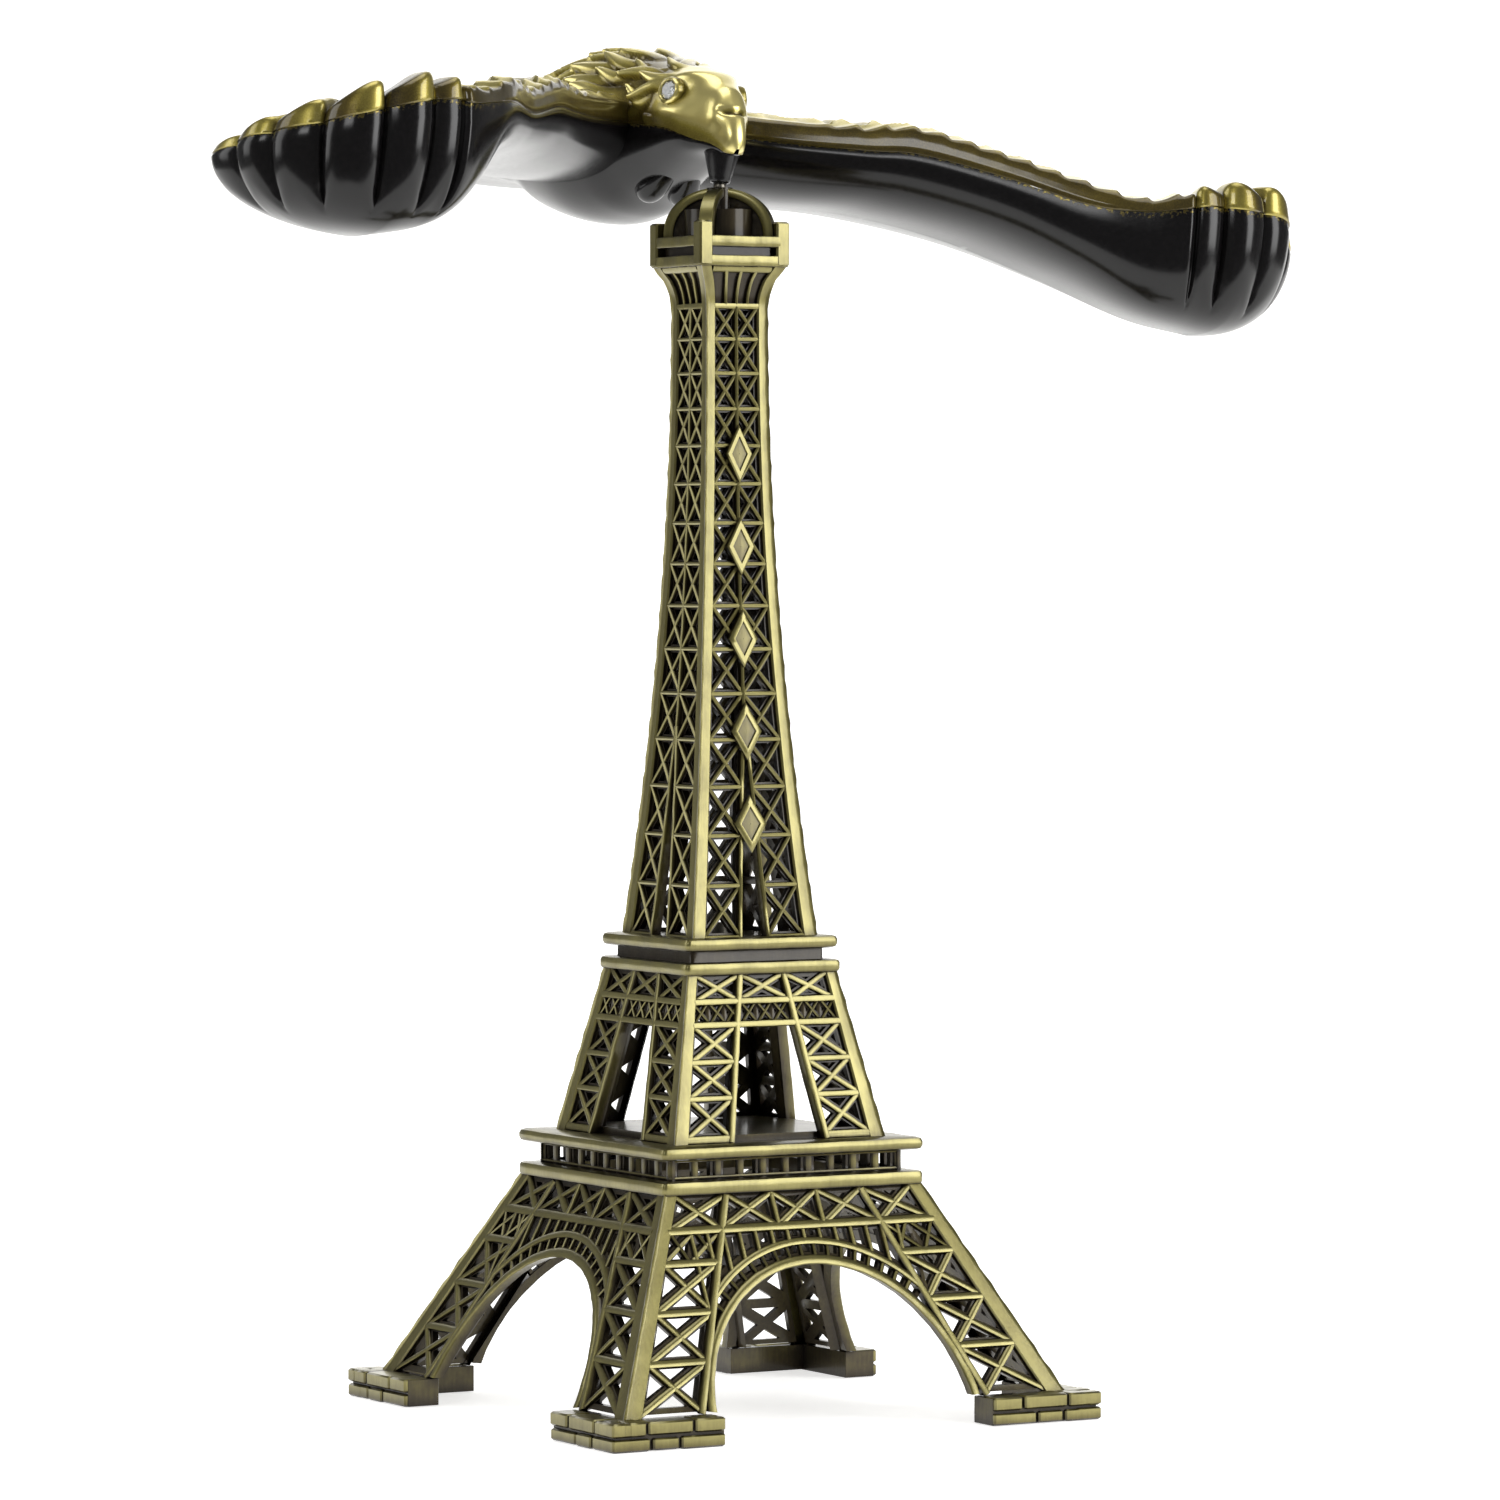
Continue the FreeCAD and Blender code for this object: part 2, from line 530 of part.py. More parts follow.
def ellipsoid(x, y, z, rx, ry, rz):
    ball = Part.makeSphere(1.0)
    stretch = FreeCAD.Matrix()
    stretch.scale(rx, ry, rz)
    ball = ball.transformGeometry(stretch)
    ball.translate(Vec(x, y, z))
    return ball


def gold_beak():
    """The hooked beak: rings swept forward and down from the head."""
    rings = []
    for x, z, radius, pitch in ((-3.0, 10.2, 3.6, 0), (0.6, 9.6, 3.2, 25), (3.2, 8.0, 2.4, 50), (4.2, 6.0, 1.5, 75),
                                (4.3, 4.8, 0.7, 90)):
        a = math.radians(pitch)
        circle = Part.Circle(Vec(x, 0, z), Vec(math.cos(a), 0, -math.sin(a)), radius)
        rings.append(Part.Wire(circle.toShape()))
    return Part.makeLoft(rings, True, False)


def finger_grooves():
    """Upright wedges that score the rounded wing tip between its feathers."""
    x, y = HAND_CENTRE
    wedges = []
    for angle in FINGER_ANGLES:
        wedge = polygon([Vec(13.6, 0, -20), Vec(20, -1.6, -20), Vec(20, 1.6, -20)]).extrude(Vec(0, 0, 30))
        wedge.rotate(Vec(0, 0, 0), Vec(0, 0, 1), angle + 10)
        wedge.translate(Vec(x, y, 0))
        wedges.append(wedge)
    return Part.makeCompound(wedges)


def eye_frame(side):
    normal = Vec(0.3, side * 0.95, 0.1)
    return Vec(EYE_AT[0], side * EYE_AT[1], EYE_AT[2]), normal.normalize()


def eagle_upper():
    outer = body_half(1, 0)
    outer = outer.fuse(both_wings(wing_half(1, 0)))
    inner = body_half(1, SHELL).fuse(both_wings(wing_half(1, SHELL)))
    shell = outer.cut(inner)
    head = ellipsoid(-6.2, 0, 9.4, 6.6, 5.3, 5.4)
    below = box(-80, 40, -90, 90, -40, 7.0)
    shell = shell.fuse([head.cut(below), gold_beak()])
    for side in (-1, 1):
        at, normal = eye_frame(side)
        rim = Part.makeCylinder(EYE_RADIUS + 0.45, 1.6, at - normal * 1.2, normal)
        hole = Part.makeCylinder(EYE_RADIUS, 1.6, at - normal * 0.6, normal)
        shell = shell.fuse(rim).cut(hole)
    shell = shell.cut(beak_cone(0.06)).cut(both_wings(finger_grooves()))
    shell.translate(Vec(0, 0, SEAM_GAP))
    return shell


def beak_cone(grow):
    top = 4.6
    taper = (2.12 - BEAK_END_RADIUS) / (top - BEAK_END_LIFT)
    end, height = BEAK_END_RADIUS + grow, top + 1.2 - BEAK_END_LIFT
    return Part.makeCone(end, end + taper * height, height, Vec(0, 0, BEAK_END_LIFT - grow))


def eagle_lower():
    outer = body_half(-1, 0).fuse(both_wings(wing_half(-1, 0)))
    inner = body_half(-1, SHELL).fuse(both_wings(wing_half(-1, SHELL)))
    shell = outer.cut(inner)
    chin = ellipsoid(-2.4, 0, 4.6, 3.6, 2.5, 1.5)
    shell = shell.fuse([beak_cone(0), chin])
    feet = [ellipsoid(-11.5, side * 2.6, 1.2, 3.0, 1.4, 1.3) for side in (-1, 1)]
    shell = shell.fuse([foot.cut(inner) for foot in feet])
    socket = Part.makeSphere(BALL_RADIUS + RUNNING_GAP, Vec(0, 0, 0))
    return shell.cut(socket).cut(both_wings(finger_grooves()))


def wing_weight(side, height):
    x, y, z = WEIGHT_AT
    slug = Part.makeCylinder(WEIGHT_RADIUS, height, Vec(x, side * y, z))
    low = [e for e in slug.Edges if e.BoundBox.ZMax < z + 0.01]
    return slug.makeChamfer(1.6, low)


def eye_stone(side):
    """A faceted stone: a pavilion below the girdle and a table above it."""
    rings = []
    girdle = EYE_RADIUS - RUNNING_GAP
    for share, lift in ((0.25, -0.5), (1.0, 0.0), (1.0, 0.12), (0.6, 0.5)):
        radius = girdle * share
        turns = [math.pi / 4 * k for k in range(9)]
        rings.append(Part.makePolygon([Vec(radius * math.cos(t), radius * math.sin(t), lift) for t in turns]))
    stone = Part.makeLoft(rings, True, True)
    at, normal = eye_frame(side)
    stone.Placement = FreeCAD.Placement(at + normal * 0.05, FreeCAD.Rotation(Vec(0, 0, 1), normal))
    return stone


def seated(shape):
    """From the eagle's own frame to the tower's."""
    shape = shape.copy()
    shape.rotate(Vec(0, 0, 0), Vec(1, 0, 0), EAGLE_LEAN)
    shape.rotate(Vec(0, 0, 0), Vec(0, 0, 1), EAGLE_HEADING)
    shape.translate(Vec(0, 0, PIVOT_Z))
    return shape


save(lower_stage(), "lower_stage")
save(middle_stage(), "middle_stage")
save(upper_shaft(), "upper_shaft")
save(gallery_crown(), "gallery_crown")
save(pivot_post(), "pivot_post")
save(deck_rivet(), "deck_rivet")
save(stage_screw(), "stage_screw")
save(pivot_cup(), "pivot_cup")
save(pivot_ball(), "pivot_ball")
save(eagle_upper(), "eagle_upper", seated)
save(eagle_lower(), "eagle_lower", seated)
save(wing_weight(1, WEIGHT_HEIGHT_LEFT), "wing_weight_left", seated)
save(wing_weight(-1, WEIGHT_HEIGHT_RIGHT), "wing_weight_right", seated)
save(eye_stone(1), "eye_stone_left", seated)
save(eye_stone(-1), "eye_stone_right", seated)
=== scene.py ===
import math
import random

import bmesh
import bpy
import numpy as np
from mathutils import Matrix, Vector


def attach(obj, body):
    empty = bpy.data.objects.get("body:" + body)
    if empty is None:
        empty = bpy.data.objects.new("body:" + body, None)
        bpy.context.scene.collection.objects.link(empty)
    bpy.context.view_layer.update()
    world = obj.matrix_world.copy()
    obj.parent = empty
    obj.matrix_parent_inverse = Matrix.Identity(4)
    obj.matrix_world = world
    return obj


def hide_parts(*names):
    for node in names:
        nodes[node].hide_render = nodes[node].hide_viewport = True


# Desk souvenir: a moulded plastic eagle that balances by its beak on a die-cast lattice tower.
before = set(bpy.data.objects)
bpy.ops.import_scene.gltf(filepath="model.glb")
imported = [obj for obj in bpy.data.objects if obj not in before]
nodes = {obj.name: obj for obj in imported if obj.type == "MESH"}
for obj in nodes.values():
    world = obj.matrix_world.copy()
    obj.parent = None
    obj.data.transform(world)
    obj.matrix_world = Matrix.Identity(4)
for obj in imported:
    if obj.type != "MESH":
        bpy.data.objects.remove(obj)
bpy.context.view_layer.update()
mm = 0.001
rng = random.Random(27)


# ---- small helpers ----
def linear(hexColour):
    # sRGB hex to the linear values the sockets take
    parts = [int(hexColour.lstrip("#")[i:i + 2], 16) / 255 for i in (0, 2, 4)]
    return [p / 12.92 if p <= 0.04045 else ((p + 0.055) / 1.055) ** 2.4 for p in parts] + [1.0]


def blend(a, b, share):
    return a + (b - a) * share


def smooth(x, low=0.0, high=1.0):
    x = np.clip((x - low) / (high - low), 0, 1)
    return x * x * (3 - 2 * x)


def wave(value, seed):
    # a slow seeded wobble between -1 and 1, for the unevenness of a casting
    return (math.sin(value * 1.7 + seed * 12.9) + math.sin(value * 4.1 + seed * 7.3) * 0.6) / 1.6


def throughKeys(keys, count):
    # a smooth curve through rows of numbers, sampled evenly by row
    keys = np.array(keys, float)
    padded = np.vstack([2 * keys[0] - keys[1], keys, 2 * keys[-1] - keys[-2]])
    at = np.linspace(0, len(keys) - 1, count)
    i = np.minimum(at.astype(int), len(keys) - 2)
    f = (at - i)[:, None]
    a, b, c, d = padded[i], padded[i + 1], padded[i + 2], padded[i + 3]
    return 0.5 * (2 * b + (c - a) * f + (2 * a - 5 * b + 4 * c - d) * f ** 2 + (3 * b - a - 3 * c + d) * f ** 3)


def makePiece(name, points, faces, marks, body, replaced, material, sharp=35, merge=0.004):
    mesh = bpy.data.meshes.new(name)
    mesh.from_pydata([(x * mm, y * mm, z * mm) for x, y, z in points], [], faces)
    for label, values in marks.items():
        layer = mesh.attributes.new(label, "FLOAT", "POINT")
        layer.data.foreach_set("value", np.asarray(values, dtype=np.float32))
    piece = bpy.data.objects.new(name, mesh)
    bpy.context.scene.collection.objects.link(piece)
    shape = bmesh.new()
    shape.from_mesh(mesh)
    bmesh.ops.remove_doubles(shape, verts=shape.verts, dist=merge * mm)
    bmesh.ops.recalc_face_normals(shape, faces=shape.faces)
    shape.to_mesh(mesh)
    shape.free()
    mesh.polygons.foreach_set("use_smooth", [True] * len(mesh.polygons))
    mesh.set_sharp_from_angle(angle=math.radians(sharp))
    mesh.materials.append(material)
    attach(piece, body)
    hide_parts(*replaced)
    print(name, "made,", len(mesh.polygons), "faces")


# ---- materials ----
def newMaterial(name):
    material = bpy.data.materials.new(name)
    material.use_nodes = True
    material.node_tree.nodes.clear()
    return material, {"Vector": (node(material, "TexCoord"), "Object")}


def node(material, kind, settings=None, inputs=None, links=None):
    # adds one node; links maps an input to (other node, its output)
    made = material.node_tree.nodes.new("ShaderNode" + kind)
    for key, value in (settings or {}).items():
        setattr(made, key, value)
    for key, value in (inputs or {}).items():
        made.inputs[key].default_value = value
    for key, (source, output) in (links or {}).items():
        material.node_tree.links.new(source.outputs[output], made.inputs[key])
    return made


scaleAdd = {"operation": "MULTIPLY_ADD"}


def ramp(material, source, output, stops):
    made = node(material, "ValToRGB", links={"Fac": (source, output)})
    band = made.color_ramp
    while len(band.elements) < len(stops):
        band.elements.new(0.5)
    for element, (at, colour) in zip(band.elements, stops):
        element.position = at
        element.color = linear(colour) if isinstance(colour, str) else [colour] * 3 + [1]
    return made


def finish(material, shader):
    node(material, "OutputMaterial", links={"Surface": (shader, "BSDF")})
    return material


brass = {
    "polished": "#867F4E",  # rubbed high spots, greenish gold
    "rubbed": "#645D36",
    "toned": "#3E3728",
    "pit": "#221C14",  # antiquing left in the recesses
    "grit": 0.35,  # mm, cast surface
    "brushing": 0.12,  # mm, relieving scratches
    "lacquer": 0.16,  # clear coat, white glints along the edges
    "pocket": 1.6,  # mm, how far the dark tone creeps out of corners
    "onRelief": 0.62, "onBare": 0.42, "onClouds": 0.52, "onStrokes": 0.16,  # what each adds to the wear
}


def antiqueBrass(name, tone=0.0):
    # Antique-brass plate on die-cast zinc, relieved with a brush: soft gold sheen on
    # the raised bars, a dull brown-black left wherever the brush can't reach.
    made, place = newMaterial(name)
    relief = node(made, "Attribute", {"attribute_name": "relief"})
    shut = node(made, "AmbientOcclusion", {"samples": 8}, {"Distance": brass["pocket"] * mm})
    clouds = node(made, "TexNoise", {}, {"Scale": 1 / (6 * mm), "Detail": 4.0, "Roughness": 0.6}, place)
    grit = node(made, "TexNoise", {}, {"Scale": 1 / (brass["grit"] * mm), "Detail": 3.0, "Roughness": 0.65},
                place)
    stretch = node(made, "Mapping", {}, {"Scale": (1.0, 1.0, 0.12)}, place)
    strokes = node(made, "TexNoise", {}, {"Scale": 1 / (brass["brushing"] * 3 * mm), "Detail": 2.0},
                   {"Vector": (stretch, "Vector")})
    bare = node(made, "MapRange", {}, {"From Min": 0.35, "From Max": 0.95}, {"Value": (shut, "AO")})
    wear = node(made, "Math", scaleAdd, {1: brass["onRelief"], 2: -0.02 + tone},
                {0: (relief, "Fac")})
    for source, output, share in ((bare, "Result", brass["onBare"]), (clouds, "Fac", brass["onClouds"]),
                                  (strokes, "Fac", brass["onStrokes"])):
        wear = node(made, "Math", scaleAdd, {1: share}, {0: (source, output), 2: (wear, "Value")})
    worn = node(made, "Math", {"operation": "SUBTRACT", "use_clamp": True}, {1: 0.33}, {0: (wear, "Value")})
    colour = ramp(made, worn, "Value", [(0.12, brass["pit"]), (0.42, brass["toned"]), (0.72, brass["rubbed"]),
                                        (1.0, brass["polished"])])
    rough = ramp(made, worn, "Value", [(0.0, 0.62), (0.5, 0.46), (1.0, 0.34)])
    bump = node(made, "Bump", {}, {"Strength": 0.35, "Distance": 0.04 * mm}, {"Height": (grit, "Fac")})
    scratch = node(made, "Bump", {}, {"Strength": 0.25, "Distance": 0.02 * mm},
                   {"Height": (strokes, "Fac"), "Normal": (bump, "Normal")})
    return finish(made, node(made, "BsdfPrincipled", {}, {
        "Metallic": 1.0, "Coat Weight": 0.55, "Coat Roughness": brass["lacquer"]}, {
        "Base Color": (colour, "Color"), "Roughness": (rough, "Color"), "Normal": (scratch, "Normal")}))


gold = {
    # crease is the painted shade colour and bright the painted highlight colour; the shade mark picks between
    # them
    "bright": "#E6D88A",
    "body": "#AC9E4A",
    "olive": "#5F521E",
    "crease": "#1E160B",
    "flake": 0.06,  # mm, metallic flakes, drawn at three times their size so that they show
    "lacquer": 0.09,
}


def goldPaint():
    # Metallic gold lacquer sprayed on moulded ABS, with painted brown shade in the creases and painted
    # highlights on the raised feathers, and a clear coat: warm highlights, a wet glint on top.
    made, place = newMaterial("goldLacquerSprayedOnPlastic")
    shade = node(made, "Attribute", {"attribute_name": "shade"})
    clouds = node(made, "TexNoise", {}, {"Scale": 1 / (5 * mm), "Detail": 3.0, "Roughness": 0.55}, place)
    flakes = node(made, "TexVoronoi", {"feature": "F1"}, {"Scale": 1 / (gold["flake"] * 3 * mm)}, place)
    lifted = node(made, "Math", scaleAdd, {1: 0.34}, {0: (clouds, "Fac"), 2: (shade, "Fac")})
    spread = node(made, "Math", {"operation": "MULTIPLY_ADD", "use_clamp": True}, {1: 0.12},
                  {0: (flakes, "Distance"), 2: (lifted, "Value")})
    # through this ramp the shade mark paints shade in the creases and highlights on the raised parts
    colour = ramp(made, spread, "Value", [(0.16, gold["crease"]), (0.42, gold["olive"]), (0.74, gold["body"]),
                                          (1.0, gold["bright"])])
    rough = ramp(made, spread, "Value", [(0.0, 0.5), (1.0, 0.3)])
    peel = node(made, "TexNoise", {}, {"Scale": 1 / (0.9 * mm), "Detail": 1.0}, place)
    bump = node(made, "Bump", {}, {"Strength": 0.2, "Distance": 0.05 * mm}, {"Height": (peel, "Fac")})
    return finish(made, node(made, "BsdfPrincipled", {}, {
        "Metallic": 0.85, "Coat Weight": 0.8, "Coat Roughness": gold["lacquer"], "Coat IOR": 1.5}, {
        "Base Color": (colour, "Color"), "Roughness": (rough, "Color"), "Normal": (bump, "Normal")}))


black = {
    "base": "#0A090A",
    "dust": "#151314",
    "overspray": "#6E6234",
    "ripple": 7.0,  # mm, flow ripple of the moulding
}


def blackPlastic():
    # Injection-moulded ABS straight from a polished mould: near black with long clear
    # reflections, and gold overspray caught along the parting edge.
    made, place = newMaterial("blackMouldedAbs")
    rim = node(made, "Attribute", {"attribute_name": "rim"})
    ripple = node(made, "TexNoise", {}, {"Scale": 1 / (black["ripple"] * mm), "Detail": 1.0}, place)
    specks = node(made, "TexNoise", {}, {"Scale": 1 / (0.45 * mm), "Detail": 2.0}, place)
    caught = node(made, "Math", {"operation": "MULTIPLY"}, {}, {0: (rim, "Fac"), 1: (specks, "Fac")})
    spray = ramp(made, caught, "Value", [(0.40, 0.0), (0.52, 1.0)])
    scuffs = ramp(made, specks, "Fac", [(0.35, black["base"]), (0.9, black["dust"])])
    colour = node(made, "Mix", {"data_type": "RGBA"}, {"B": linear(black["overspray"])},
                  {"Factor": (spray, "Color"), "A": (scuffs, "Color")})
    metal = node(made, "Math", {"operation": "MULTIPLY"}, {1: 0.8}, {0: (spray, "Color")})
    rough = node(made, "MapRange", {}, {"From Min": 0.3, "From Max": 0.7, "To Min": 0.17, "To Max": 0.21},
                 {"Value": (specks, "Fac")})
    bump = node(made, "Bump", {}, {"Strength": 0.25, "Distance": 0.1 * mm}, {"Height": (ripple, "Fac")})
    return finish(made, node(made, "BsdfPrincipled", {}, {"IOR": 1.43}, {
        "Base Color": (colour, "Result"), "Metallic": (metal, "Value"), "Roughness": (rough, "Result"),
        "Normal": (bump, "Normal")}))


def cutStone():
    # Cut glass stone with a foiled back: bright facets, a few dark ones, given as painted reflections by a
    # colour noise.
    made, place = newMaterial("foilBackedCutGlass")
    cloud = node(made, "TexNoise", {}, {"Scale": 1 / (0.5 * mm)}, place)
    # painted reflection: the noise lightens and darkens patches of the foil colour
    colour = ramp(made, cloud, "Fac", [(0.3, "#D5DDE2"), (0.7, "#FFFFFF")])
    rough = node(made, "MapRange", {}, {"To Min": 0.02, "To Max": 0.07}, {"Value": (cloud, "Fac")})
    return finish(made, node(made, "BsdfPrincipled", {}, {
        "IOR": 1.55, "Transmission Weight": 0.55, "Coat Weight": 0.5}, {
        "Base Color": (colour, "Color"), "Roughness": (rough, "Result")}))


def turnedSteel(name, bright, dark, ring):
    # Turned and zinc-plated steel: fine tool rings that streak the highlight.
    made, place = newMaterial(name)
    rings = node(made, "TexWave", {"wave_type": "RINGS", "rings_direction": "Z"},
                 {"Scale": 0.31 / (ring * mm), "Distortion": 0.6}, place)
    cloud = node(made, "TexNoise", {}, {"Scale": 1 / (1.2 * mm), "Detail": 3.0}, place)
    colour = ramp(made, cloud, "Fac", [(0.3, dark), (0.7, bright)])
    rough = node(made, "MapRange", {}, {"To Min": 0.28, "To Max": 0.5}, {"Value": (cloud, "Fac")})
    bump = node(made, "Bump", {}, {"Strength": 0.3, "Distance": 0.03 * mm}, {"Height": (rings, "Color")})
    return finish(made, node(made, "BsdfPrincipled", {}, {"Metallic": 1.0}, {
        "Base Color": (colour, "Color"), "Roughness": (rough, "Result"), "Normal": (bump, "Normal")}))


brushedBrass = antiqueBrass("antiqueBrassPlateBrushed")
darkBrass = antiqueBrass("antiqueBrassPlateUnbrushed", -0.12)
goldCoat = goldPaint()
blackAbs = blackPlastic()
stoneGlass = cutStone()
steelPlate = turnedSteel("zincPlatedTurnedSteel", "#9A968C", "#5E594F", 0.25)
leadPaint = turnedSteel("castSteelSlug", "#5B5852", "#37342F", 0.5)
cadFinishes = {
    "pivot_post": darkBrass, "pivot_cup": steelPlate, "pivot_ball": steelPlate, "deck_rivet": darkBrass,
    "stage_screw": steelPlate, "wing_weight_left": leadPaint, "wing_weight_right": leadPaint,
    "eye_stone_left": stoneGlass, "eye_stone_right": stoneGlass,
}
for name, material in cadFinishes.items():
    slots = nodes[name].data.materials
    for i in range(len(slots)):
        slots[i] = material
print("materials ready")


# ---- casting tools: everything below is in mm on one wall, u across, z up, depth inward ----
class Casting:
    def __init__(self):
        self.points, self.faces, self.relief = [], [], []

    def add(self, points, faces, relief):
        start = len(self.points)
        self.points += points
        self.relief += relief if isinstance(relief, list) else [relief] * len(points)
        self.faces += [[start + i for i in face] for face in faces]

    def grid(self, rows, relief, closed=False):
        wide = len(rows[0])
        if isinstance(relief, list) and len(relief) == len(rows):  # one value for each row
            relief = [value for value in relief for _ in range(wide)]
        faces = []
        for j in range(len(rows) - 1):
            for i in range(wide if closed else wide - 1):
                k = (i + 1) % wide
                faces.append([j * wide + i, j * wide + k, (j + 1) * wide + k, (j + 1) * wide + i])
        self.add([p for row in rows for p in row], faces, relief)

    def piece(self, name, replaced):
        makePiece(name, self.points, self.faces, {"relief": self.relief}, "tower", [replaced],
                  brushedBrass)


def onWall(casting, half, side):
    # from here on the casting's bars and webs go on this wall
    casting.place = wallPlace(half, side)
    return casting.place


def wallPlace(half, side):
    # turns (u, z, depth) on one of the four walls into a place on the tower
    c, s = math.cos(side * math.pi / 2), math.sin(side * math.pi / 2)

    def place(u, z, depth=0.0):
        y = depth - half(z)
        return (u * c - y * s, u * s + y * c, z)
    return place


def strip(casting, path, width, top=0.0, drop=0.8, relief=1.0, step=1.3):
    # a raised bar with a rounded top along a path of (u, z)
    fine = [path[0]]
    for p, q in zip(path, path[1:]):
        n = max(1, round(math.dist(p, q) / step))
        fine += [(blend(p[0], q[0], i / n), blend(p[1], q[1], i / n)) for i in range(1, n + 1)]
    seed = rng.random() * 9
    rows = []
    for i, (u, z) in enumerate(fine):
        a, b = fine[max(i - 1, 0)], fine[min(i + 1, len(fine) - 1)]
        run = math.dist(a, b) or 1.0
        nu, nz = -(b[1] - a[1]) / run, (b[0] - a[0]) / run
        w = width * (1 + 0.07 * wave(i * 1.3, seed))
        lift = top + 0.035 * wave(i * 0.9, seed + 3)
        row = []
        for across, depth in ((-0.5, drop), (-0.5, lift + 0.26), (-0.36, lift + 0.07), (0, lift),
                              (0.36, lift + 0.07), (0.5, lift + 0.26), (0.5, drop)):
            row.append(casting.place(u + nu * across * w, z + nz * across * w, depth))
        rows.append(row)
    high = [0.0, 0.45 * relief, 0.9 * relief, relief, 0.9 * relief, 0.45 * relief, 0.0]
    casting.grid(rows, high * len(rows))
    casting.add(rows[0] + rows[-1], [list(range(7))[::-1], list(range(7, 14))], high * 2)


def shrink(corners, inset):
    # a smaller polygon of the same shape about its middle
    n = len(corners)
    cu, cz = sum(p[0] for p in corners) / n, sum(p[1] for p in corners) / n
    area = abs(sum(corners[i][0] * corners[(i + 1) % n][1] - corners[(i + 1) % n][0] * corners[i][1]
                   for i in range(n))) / 2
    around = sum(math.dist(corners[i], corners[(i + 1) % n]) for i in range(n))
    if n == 3:
        sides = [math.dist(corners[(i + 1) % 3], corners[(i + 2) % 3]) for i in range(3)]
        cu = sum(s * p[0] for s, p in zip(sides, corners)) / around
        cz = sum(s * p[1] for s, p in zip(sides, corners)) / around
    keep = max(0.12, 1 - inset * around / (2 * area))
    return [(cu + keep * (u - cu), cz + keep * (z - cz)) for u, z in corners]


def web(casting, corners, rim, front=0.5, back=1.4):
    # the recessed plate between bars, pierced in its middle
    n = len(corners)
    hole = shrink(corners, rim)
    rings = [[casting.place(u, z, d) for u, z in ring] for ring, d in
             ((corners, back), (corners, front), (hole, front + 0.12), (hole, back))]
    points = rings[1] + rings[2] + rings[3] + rings[0]
    faces = []
    for i in range(n):
        j = (i + 1) % n
        for k in (0, n, 2 * n):
            faces.append([k + i, k + j, k + n + j, k + n + i])
    casting.add(points, faces, [0.12] * n + [0.02] * n + [0.0] * 2 * n)


def crossed(casting, left, right, z0, z1, bar, rim=None, top=0.12):
    # one braced bay: four pierced triangles under two crossed bars
    corners = [(left(z0), z0), (right(z0), z0), (right(z1), z1), (left(z1), z1)]
    middle = (sum(p[0] for p in corners) / 4, sum(p[1] for p in corners) / 4)
    for i in range(4):
        web(casting, [corners[i], corners[(i + 1) % 4], middle], rim or bar * 0.5 + 0.22)
    strip(casting, [corners[0], corners[2]], bar, top + 0.05 * rng.random(), relief=0.92)
    strip(casting, [corners[1], corners[3]], bar, top + 0.05 * rng.random(), relief=0.92)


def cornerPosts(casting, half, wide, levels, flash=0.1):
    # four angle posts with the thin wavy witness line of the mould on their corner
    for side in range(4):
        here, there = wallPlace(half, side), wallPlace(half, side + 1)
        seed = rng.random() * 20
        rows = []
        for z in levels:
            h, w = half(z), wide(z)
            out = flash * (1 + 0.6 * wave(z * 1.1, seed))
            drift = 0.08 * wave(z * 0.6, seed + 5)
            face = ((h - w, 1.4), (h - w, 0.22), (h - w + 0.2, 0.0), (h - 0.42 + drift, 0.02),
                    (h - 0.16 + drift, 0.0))
            row = [here(u, z, depth) for u, depth in face] + [here(h + out, z, -out)]
            rows.append(row + [there(-u, z, depth) for u, depth in reversed(face)])
        casting.grid(rows, [0.1, 0.6, 0.95, 0.72, 0.8, 1.25, 0.8, 0.72, 0.95, 0.6, 0.1] * len(rows))


def span(low, high, step=1.0):
    n = max(1, round((high - low) / step))
    return [blend(low, high, i / n) for i in range(n + 1)]


def squareRing(half, z, corner, seed, wobble=0.05, cuts=20):
    # one closed ring of a square plate with rounded corners and slightly uneven edges
    points = []
    for side in range(4):
        c, s = math.cos(side * math.pi / 2), math.sin(side * math.pi / 2)
        edge = [((half - corner) * (2 * i / cuts - 1), -half) for i in range(cuts + 1)]
        turn = [(half - corner + corner * math.sin(a), -half + corner - corner * math.cos(a))
                for a in (math.pi / 8, math.pi / 4, math.pi * 3 / 8)]
        for u, y in edge + turn:
            y -= wobble * wave(u * 0.7 + side * 9, seed)
            rise = wobble * 0.5 * wave(u * 0.5 + side * 5, seed + 2)
            points.append((u * c - y * s, u * s + y * c, z + rise))
    return points


def plate(casting, half, z0, thick, nose, hole=0.0, relief=0.85):
    # a bull-nosed square plate, solid or with a square hole
    seed = rng.random() * 9
    profile = [(half - nose, z0, 0.1), (half - nose * 0.3, z0 + nose * 0.3, 0.4), (half, z0 + nose, 0.9),
               (half, z0 + thick - nose, 1.1), (half - nose * 0.3, z0 + thick - nose * 0.3, 0.95),
               (half - nose, z0 + thick, 0.8)]
    rows = [squareRing(h, z, 0.55, seed) for h, z, _ in profile]
    casting.grid(rows, [value * relief for _, _, value in profile], True)
    count = len(rows[0])
    for row, z, order in ((rows[0], z0, 1), (rows[-1], z0 + thick, -1)):
        middle = [(p[0] * 0.55, p[1] * 0.55, z) for p in row] if not hole else \
            [(p[0] * hole / half, p[1] * hole / half, z) for p in row]
        casting.grid([row, middle], [0.55 * relief, 0.3 * relief], True)
        if not hole:
            casting.add(middle, [list(range(count))[::order]], 0.25 * relief)
    if hole:
        casting.grid([[(p[0] * hole / half, p[1] * hole / half, z0 + thick) for p in rows[-1]],
                      [(p[0] * hole / half, p[1] * hole / half, z0) for p in rows[0]]], 0.0, True)


